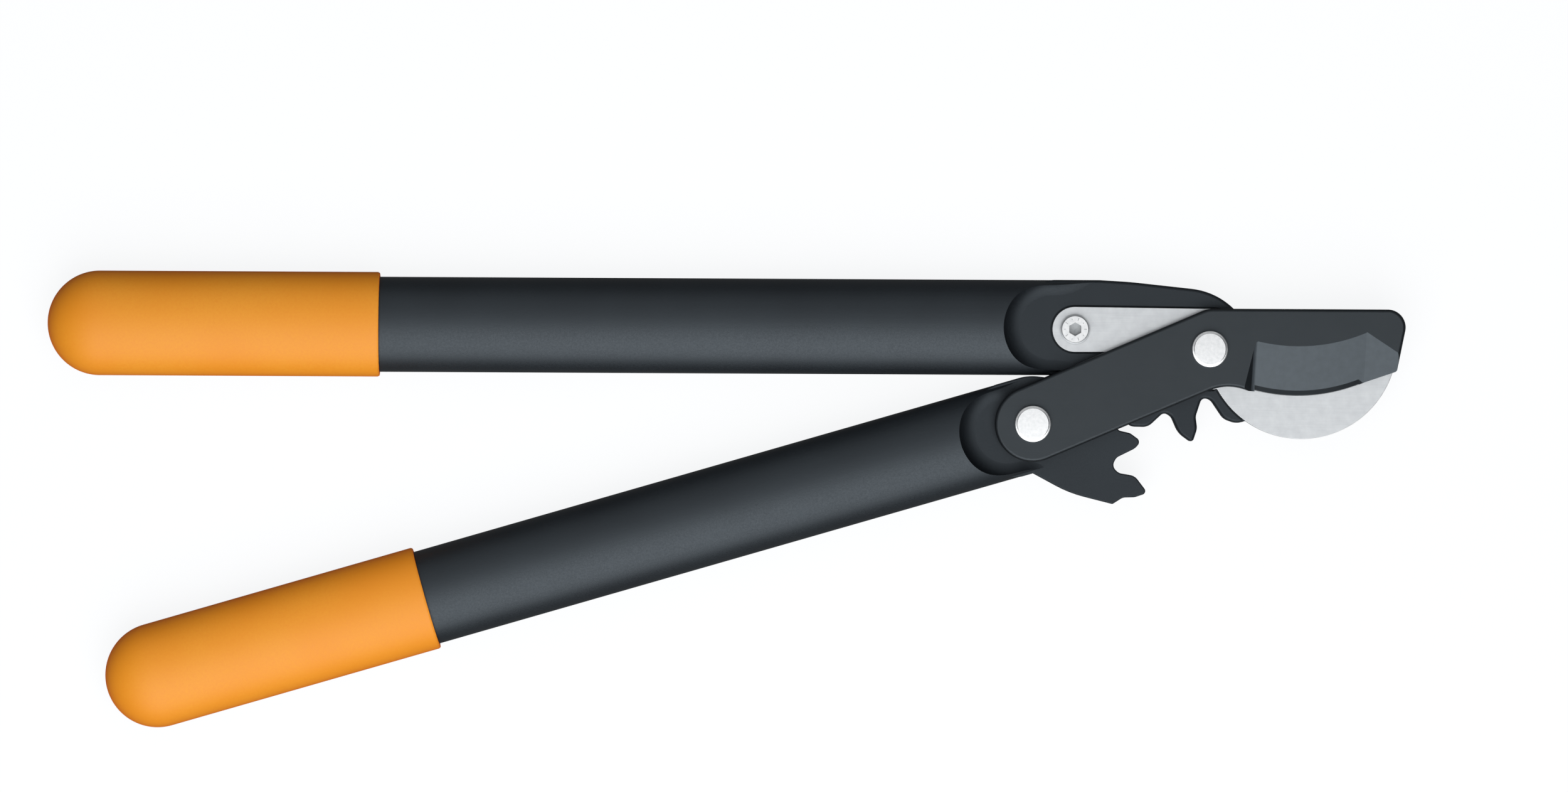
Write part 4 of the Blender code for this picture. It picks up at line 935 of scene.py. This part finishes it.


# Ground face under the coating: faintly clouded, with hardly any grinding lines left. Its paler tone is
# painted light, a lighter copy of the coating that stands in for the soft box the tilted face reflects
bevel_painted_light, tree, shader = new_finish("coating_on_ground_bevel_painted_paler", 0.0, COATING_ROUGHNESS,
                                        COATING_IOR, COATING_SHEEN)
place = add_node(tree, 'ShaderNodeTexCoord').outputs["Object"]
across = add_node(tree, 'ShaderNodeMapping', {
    "Vector": place, "Scale": (1 / BEVEL_LINES, 1 / STREAK_LENGTH, 1 / STREAK_LENGTH)})
lines = add_node(tree, 'ShaderNodeTexNoise', {
    "Vector": across.outputs[0], "Scale": 1.0, "Detail": 2.0}).outputs["Fac"]
clouds = add_node(tree, 'ShaderNodeTexNoise', {
    "Vector": place, "Scale": 1 / (2.4 * MM), "Detail": 3.0}).outputs["Fac"]
spread = add_node(tree, 'ShaderNodeMapRange', {"Value": clouds, 1: 0.3, 2: 0.7})
tone = add_node(tree, 'ShaderNodeMix', {
    0: spread.outputs[0], 6: linear(BEVEL_DARK), 7: linear(BEVEL_LIGHT)}, data_type='RGBA')
relief = add_node(tree, 'ShaderNodeBump', {"Height": lines, "Strength": 0.04, "Distance": 0.02 * MM})
tree.links.new(tone.outputs[2], shader.inputs["Base Color"])
tree.links.new(relief.outputs[0], shader.inputs["Normal"])

# Honed edge: bare tool steel, bright along the stone's fine lines
honed_steel, tree, shader = new_finish("honed_bare_steel", 1.0, 0.25)
place = add_node(tree, 'ShaderNodeTexCoord').outputs["Object"]
scratches = add_node(tree, 'ShaderNodeTexNoise', {"Vector": place, "Scale": 1 / (0.3 * MM)})
tone = add_node(tree, 'ShaderNodeMix', {
    0: scratches.outputs["Fac"], 6: linear("#D5D7D9"), 7: linear("#F0F1F2")}, data_type='RGBA')
tree.links.new(tone.outputs[2], shader.inputs["Base Color"])

up = Vector((0, 0, 1))
# the ground face, the hollow at its foot and the nose flat take the paler coating, which is painted
# light
grind = wheel_cut("grind", GRIND_CENTRE, GRIND_RADIUS, *GRIND_SPAN, 0, blade_face, GRIND_SLOPE,
                  bevel_painted_light)
to_front = up.cross(STEP_LINE).normalized()
wall = to_front * sin(STEP_SLOPE) + up * cos(STEP_SLOPE)
foot = Vector((STEP_START, arc_height(STEP_START), blade_face))
combine(grind, slab("step_wall", foot, STEP_LINE, wall, blade_coating))
combine(grind, hollow("step_foot", foot, ground_normal(STEP_START), wall, STEP_HOLLOW, STEP_REACH, 6,
                      bevel_painted_light))
apex = Vector((NOSE_START, arc_height(NOSE_START), blade_face))
top_edge = NOSE_TOP_END.to_3d() - apex
top_edge.z = 0
valley_end = NOSE_VALLEY_END.to_3d()
valley_end.z = blade_face - GRIND_SLOPE * (arc_height(valley_end.x) - valley_end.y)
combine(grind, slab("nose_face", apex, top_edge, (valley_end - apex).cross(top_edge), bevel_painted_light))
strip = wheel_cut("strip", EDGE_CENTRE, EDGE_RADIUS, STRIP_START, STRIP_END, STRIP_END_SLANT,
                  blade_bottom + EDGE_LAND, STRIP_SLOPE, blade_coating)
hone = wheel_cut("hone", EDGE_CENTRE, EDGE_RADIUS, STRIP_START, STRIP_END, STRIP_END_SLANT,
                 blade_bottom + HONE_LAND, HONE_SLOPE, honed_steel)
blade = plate("coated_blade", blade_outline(), blade_bottom, blade_face, BLADE_EDGE,
              BLADE_REAR_EDGE, 6, blade_coating)
for cutter in (grind, strip, hone):
    combine(blade, cutter)
for pivot in (HOOK_PIVOT, LOWER_PIVOT):
    combine(blade, round_cutter("drill", SHANK_HOLE, blade_bottom - GAP, above, pivot))
soften(blade)
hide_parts("blade")
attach(blade, "blade_frame")

# Rivets
# Two plated steel rivets. The flat front heads have a shallow bevelled ring, and the rear ends
# are closed over the strap by a spinning tool, which leaves a low dome with a dimple.
HEAD_RADIUS = 6.1 * MM
HEAD_FLAT = 5.2 * MM              # flat inside the bevelled ring
RING_RADIUS = 5.45 * MM
RING_DROP = 0.14 * MM
RIM_DROP = 0.2 * MM
SHANK_RADIUS = 4.0 * MM
REAR_HEAD_RADIUS = 5.6 * MM
REAR_RIM = 0.7 * MM               # height of the rear head's rim above the floor
DOME_RADIUS = 4.4 * MM
DIMPLE_RADIUS = 1.6 * MM
DIMPLE_DEPTH = 0.5 * MM
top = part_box("hook_pivot_rivet")[1].z
front_seat = blade_face + SEAT_GAP
rear_seat = strap_low.z - SEAT_GAP
rivets = turned("plated_rivets", [
    (0, top, 0), (HEAD_FLAT, top, 0.15 * MM), (RING_RADIUS, top - RING_DROP, 0.1 * MM),
    (HEAD_RADIUS, top - RIM_DROP, 0.3 * MM), (HEAD_RADIUS, front_seat, 0),
    (SHANK_RADIUS, front_seat, 0), (SHANK_RADIUS, rear_seat, 0),
    (REAR_HEAD_RADIUS, rear_seat, 0.2 * MM), (REAR_HEAD_RADIUS, REAR_RIM, 0.5 * MM),
    (DOME_RADIUS, 0, 0.8 * MM), (DIMPLE_RADIUS, 0, 0.3 * MM), (0, DIMPLE_DEPTH, 0)],
    128, zinc_plating, 2, (*(LOWER_PIVOT - HOOK_PIVOT), 0))
soften(rivets)
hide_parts("hook_pivot_rivet", "lower_pivot_rivet")
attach(rivets, "blade_frame")

# Grips
# Sleeves of soft orange thermoplastic rubber, closed at the rear by a round end and pushed over
# the tubes. Their mould was lightly blasted, so they are matt with a soft warm bloom, and have a
# thin bevel round the mouth.
GRIP_LENGTH = 111.8 * MM
GRIP_LIP = 0.6 * MM
GRIP_FIT = 0.05 * MM              # between tube and sleeve
GRIP_DEPTH = 20 * MM              # how far in from the mouth the sleeve's inner face is made
ORANGE_DARK = "#FC9C1C"
ORANGE_LIGHT = "#FFA628"
BLOOM = 0.8                       # weight of the warm bloom that the blasted surface has
BLOOM_TINT = "#FF5410"
RUBBER_GRAIN = 0.7 * MM           # drawn coarser than the real blasting, so that it shows
RUBBER_FLOW = 30 * MM
soft_orange, tree, shader = new_finish("blasted_thermoplastic_rubber", 0.0, 0.52, 1.5)
shader.inputs["Sheen Weight"].default_value = BLOOM
shader.inputs["Sheen Roughness"].default_value = 0.5
shader.inputs["Sheen Tint"].default_value = linear(BLOOM_TINT)
place = add_node(tree, 'ShaderNodeTexCoord').outputs["Object"]
grain = add_node(tree, 'ShaderNodeTexNoise', {
    "Vector": place, "Scale": 1 / RUBBER_GRAIN, "Detail": 3.0, "Roughness": 0.6}).outputs["Fac"]
flow = add_node(tree, 'ShaderNodeTexNoise', {
    "Vector": place, "Scale": 1 / RUBBER_FLOW, "Detail": 1.0}).outputs["Fac"]
blend = add_node(tree, 'ShaderNodeMath', {0: grain, 1: flow}, operation='MULTIPLY')
spread = add_node(tree, 'ShaderNodeMapRange', {"Value": blend.outputs[0], 1: 0.12, 2: 0.4})
tone = add_node(tree, 'ShaderNodeMix', {
    0: spread.outputs[0], 6: linear(ORANGE_DARK), 7: linear(ORANGE_LIGHT)}, data_type='RGBA')
sheen = add_node(tree, 'ShaderNodeMapRange', {"Value": grain, 1: 0.3, 2: 0.7, 3: 0.48, 4: 0.6})
relief = add_node(tree, 'ShaderNodeBump', {"Height": grain, "Strength": 0.2, "Distance": 0.04 * MM})
tree.links.new(tone.outputs[2], shader.inputs["Base Color"])
tree.links.new(sheen.outputs[0], shader.inputs["Roughness"])
tree.links.new(relief.outputs[0], shader.inputs["Normal"])
half_width = TUBE_WIDTH / 2 + GRIP_WALL
mouth = GRIP_LENGTH - half_width
bore = TUBE_WIDTH / 2 + GRIP_FIT
sleeves = (("upper_sleeve", "upper_grip", "upper_handle", upper_axis, UPPER_REACH, Matrix.Identity(4)),
           ("lower_sleeve", "lower_grip", "lower_handle", 0.0, LOWER_REACH, lower_place))
for name, node, body, axis, reach, place in sleeves:
    sleeve = turned(name, [
        (0, mouth - GRIP_DEPTH, 0), (bore, mouth - GRIP_DEPTH, 0), (bore, mouth, 0.25 * MM),
        (half_width - GRIP_LIP / 2, mouth, 0.25 * MM), (half_width, mouth - GRIP_LIP, 0.5 * MM),
        (half_width, -half_width, half_width), (0, -half_width, 0)],
        TUBE_SIDES, soft_orange)
    flatten = Matrix.Diagonal((handle_middle / half_width, 1, 1, 1))
    lie = Matrix.Rotation(radians(90), 4, 'Y')
    push = Matrix.Translation((-(reach - half_width), axis, handle_middle))
    sleeve.data.transform(place @ push @ lie @ flatten)
    soften(sleeve)
    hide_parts(node)
    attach(sleeve, body)

# Floor and light
# A white matt table under two soft boxes: a bright one over the jaws' cutting side and a dim one
# over their back. What the camera and the metal see of the table is mostly its own white, so
# that only a light shadow shows, and to other rays it is grey and throws little light back.
FLOOR_SIZE = 6.0
FLOOR_WHITE = "#FDFEFF"
FLOOR_GLOW = 0.90
FLOOR_SHARE = "#666666"           # what the table takes of the light for the camera
FLOOR_BOUNCE = "#646464"          # and for light that goes on to the tool
FLOOR_MIRRORED = 0.09             # how much of its white shows in metal and gloss
FLOOR_GAP = 0.05 * MM
SKY_TINT = "#E8EEF4"
SKY_STRENGTH = 0.10
# Each box: name, place from the tool's middle, width and power
SOFT_BOXES = (("cutting_side_box", Vector((0.02, -0.70, 1.14)), 1.5, 20.0),
              ("back_side_box", Vector((0.0, 0.72, 1.36)), 1.7, 4.5))
floor_shape = bmesh.new()
bmesh.ops.create_grid(floor_shape, x_segments=2, y_segments=2, size=FLOOR_SIZE / 2)
material, tree, shader = new_finish("matt_white_table", 0.0, 0.9, 1.45)
path = add_node(tree, 'ShaderNodeLightPath')
mirrored = add_node(tree, 'ShaderNodeMath', {
    0: path.outputs["Is Glossy Ray"], 1: path.outputs["Is Transmission Ray"]}, operation='MAXIMUM')
mirrored = add_node(tree, 'ShaderNodeMath', {0: mirrored.outputs[0], 1: FLOOR_MIRRORED},
                    operation='MULTIPLY')
seen = add_node(tree, 'ShaderNodeMath', {
    0: path.outputs["Is Camera Ray"], 1: mirrored.outputs[0]}, operation='MAXIMUM')
tone = add_node(tree, 'ShaderNodeMix', {
    0: seen.outputs[0], 6: linear(FLOOR_BOUNCE), 7: linear(FLOOR_SHARE)}, data_type='RGBA')
glow = add_node(tree, 'ShaderNodeMath', {0: seen.outputs[0], 1: FLOOR_GLOW}, operation='MULTIPLY')
tree.links.new(tone.outputs[2], shader.inputs["Base Color"])
tree.links.new(glow.outputs[0], shader.inputs["Emission Strength"])
shader.inputs["Emission Color"].default_value = linear(FLOOR_WHITE)
shader.inputs["Specular IOR Level"].default_value = 0.0
table_top = from_shape("table_top", floor_shape, material)
table_top.data.transform(Matrix.Translation((0, 0, cad_low.z - FLOOR_GAP)))

middle = Vector(((cad_low.x + cad_high.x) / 2, (cad_low.y + cad_high.y) / 2, 0))
for name, place, size, power in SOFT_BOXES:
    light = bpy.data.lights.new(name, 'AREA')
    light.shape = 'SQUARE'
    light.size = size
    light.energy = power
    lamp = bpy.data.objects.new(name, light)
    lamp.location = middle + place
    lamp.rotation_euler = (-place).to_track_quat('-Z', 'Y').to_euler()
    lamp.visible_camera = False
    bpy.context.scene.collection.objects.link(lamp)

world = bpy.data.worlds.new("studio")
world.use_nodes = True
world.node_tree.nodes["Background"].inputs["Color"].default_value = linear(SKY_TINT)
world.node_tree.nodes["Background"].inputs["Strength"].default_value = SKY_STRENGTH
bpy.context.scene.world = world
bpy.context.scene.view_settings.view_transform = 'Standard'

# Camera straight above the tool with a long lens, as the photograph hardly shows perspective
CAMERA_PLACE = (-142.9 * MM, -16.45 * MM, 3000 * MM)
CAMERA_LENS = 203.8
CAMERA_ROLL = radians(0.29)
camera = bpy.data.objects.new("camera", bpy.data.cameras.new("camera"))
camera.data.lens = CAMERA_LENS
camera.data.clip_start = 0.01
camera.location = CAMERA_PLACE
camera.rotation_euler.z = CAMERA_ROLL
bpy.context.scene.collection.objects.link(camera)
bpy.context.scene.camera = camera
